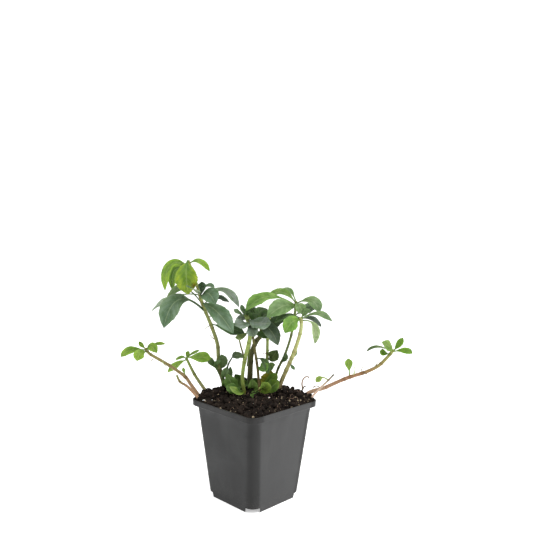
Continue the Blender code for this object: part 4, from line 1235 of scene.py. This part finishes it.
# ---- the object
make_pot()
make_soil()
make_loose_soil()
for stem in STEMS:
    make_stem(stem)
for group, grown in ((LEAVES, False), (YOUNG_LEAVES, True), (SMALL_LEAVES, True)):
    for stem, leaves in group.items():
        for leaf_name, leaf in leaves.items():
            make_leaf(leaf_name, stem, leaf, grown)
make_bits()


# ---- stage, light and camera
def make_stage():
    """A plain, pale floor."""
    size = 6.0
    corners = [(-size, -size, 0), (size, -size, 0), (size, size, 0), (-size, size, 0)]
    mesh = bpy.data.meshes.new("floor")
    mesh.from_pydata(corners, [], [(0, 1, 2, 3)])
    floor = bpy.data.objects.new("floor", mesh)
    bpy.context.scene.collection.objects.link(floor)
    n = Nodes("floor")
    grain = n.noise(30, 3.0)
    colour = n.mix(grain, (0.93, 0.93, 0.93), (0.95, 0.95, 0.95))
    n.set(Base_Color=colour, Roughness=0.9, Emission_Color=(1.0, 1.0, 1.0), Emission_Strength=0.45)
    mesh.materials.append(n.material)


def make_light(name, place, size, power):
    """A round lamp at a place on the plant's own axes, aimed at the plant."""
    data = bpy.data.lights.new(name, "AREA")
    data.shape = "DISK"
    data.size = size
    data.energy = power
    lamp = bpy.data.objects.new(name, data)
    bpy.context.scene.collection.objects.link(lamp)
    lamp.location = plant_turn @ Vector(place)
    way = plant_turn @ Vector((0, 0, 0.15)) - lamp.location
    lamp.rotation_mode = "QUATERNION"
    lamp.rotation_quaternion = way.to_track_quat("-Z", "Y")


def make_camera():
    """The camera's place on the plant's own axes: across, away from it, up."""
    data = bpy.data.cameras.new("camera")
    data.lens = 42.73
    data.sensor_width = 36.0
    camera = bpy.data.objects.new("camera", data)
    bpy.context.scene.collection.objects.link(camera)
    pitch = math.radians(-4.42)
    roll = math.radians(0.66)
    camera.matrix_world = (
        plant_turn
        @ Matrix.Translation((0.01017, -0.600, 0.27005))
        @ Matrix.Rotation(math.radians(90) + pitch, 4, "X")
        @ Matrix.Rotation(roll, 4, "Z")
    )
    bpy.context.scene.camera = camera


WORLD_FRONT = 0.22
WORLD_SIDE = 0.80
WORLD_BACK = 0.70
WORLD_TOP = 0.45


def make_world():
    """A studio: bright to both sides and above, dim behind the camera, white where it is seen."""
    world = bpy.data.worlds.new("studio")
    bpy.context.scene.world = world
    world.use_nodes = True
    tree = world.node_tree

    def add(kind, *values, **settings):
        node = tree.nodes.new(kind)
        for key, value in settings.items():
            setattr(node, key, value)
        for socket, value in zip(node.inputs, values):
            if isinstance(value, bpy.types.NodeSocket):
                tree.links.new(value, socket)
            elif value is not None:
                socket.default_value = value
        return node.outputs

    way = add("ShaderNodeTexCoord")["Generated"]
    side = plant_turn.to_3x3() @ Vector((1, 0, 0))
    away = plant_turn.to_3x3() @ Vector((0, 1, 0))
    across = add("ShaderNodeVectorMath", way, tuple(side), operation="DOT_PRODUCT")["Value"]
    behind = add("ShaderNodeVectorMath", way, tuple(away), operation="DOT_PRODUCT")["Value"]
    up = add("ShaderNodeSeparateXYZ", way)["Z"]
    wide = add("ShaderNodeMath", across, operation="ABSOLUTE")[0]
    sides = add("ShaderNodeMapRange", wide, 0.15, 0.75, WORLD_FRONT, WORLD_SIDE)[0]
    tilt = add("ShaderNodeMapRange", across, -0.5, 0.5, 0.66, 1.22)[0]
    sides = add("ShaderNodeMath", sides, tilt, operation="MULTIPLY")[0]
    back = add("ShaderNodeMapRange", behind, -0.2, 0.5, 0.0, WORLD_BACK)[0]
    top = add("ShaderNodeMapRange", up, 0.1, 0.9, 0.0, WORLD_TOP)[0]
    total = add("ShaderNodeMath", add("ShaderNodeMath", sides, back, operation="MAXIMUM")[0], top,
                operation="ADD")[0]
    seen = add("ShaderNodeLightPath")["Is Camera Ray"]
    strength = add("ShaderNodeMix", seen, None, total, 1.05)[0]
    background = tree.nodes["Background"]
    background.inputs["Color"].default_value = (1.0, 1.0, 1.0, 1.0)
    tree.links.new(strength, background.inputs["Strength"])


make_stage()
make_light("key", (0.60, -0.45, 1.10), 0.7, 13)
make_light("fill", (-0.95, -0.25, 0.7), 0.9, 7)
make_world()
make_camera()
bpy.context.scene.view_settings.view_transform = "Standard"
bpy.context.scene.view_settings.look = "None"

bpy.context.view_layer.update()
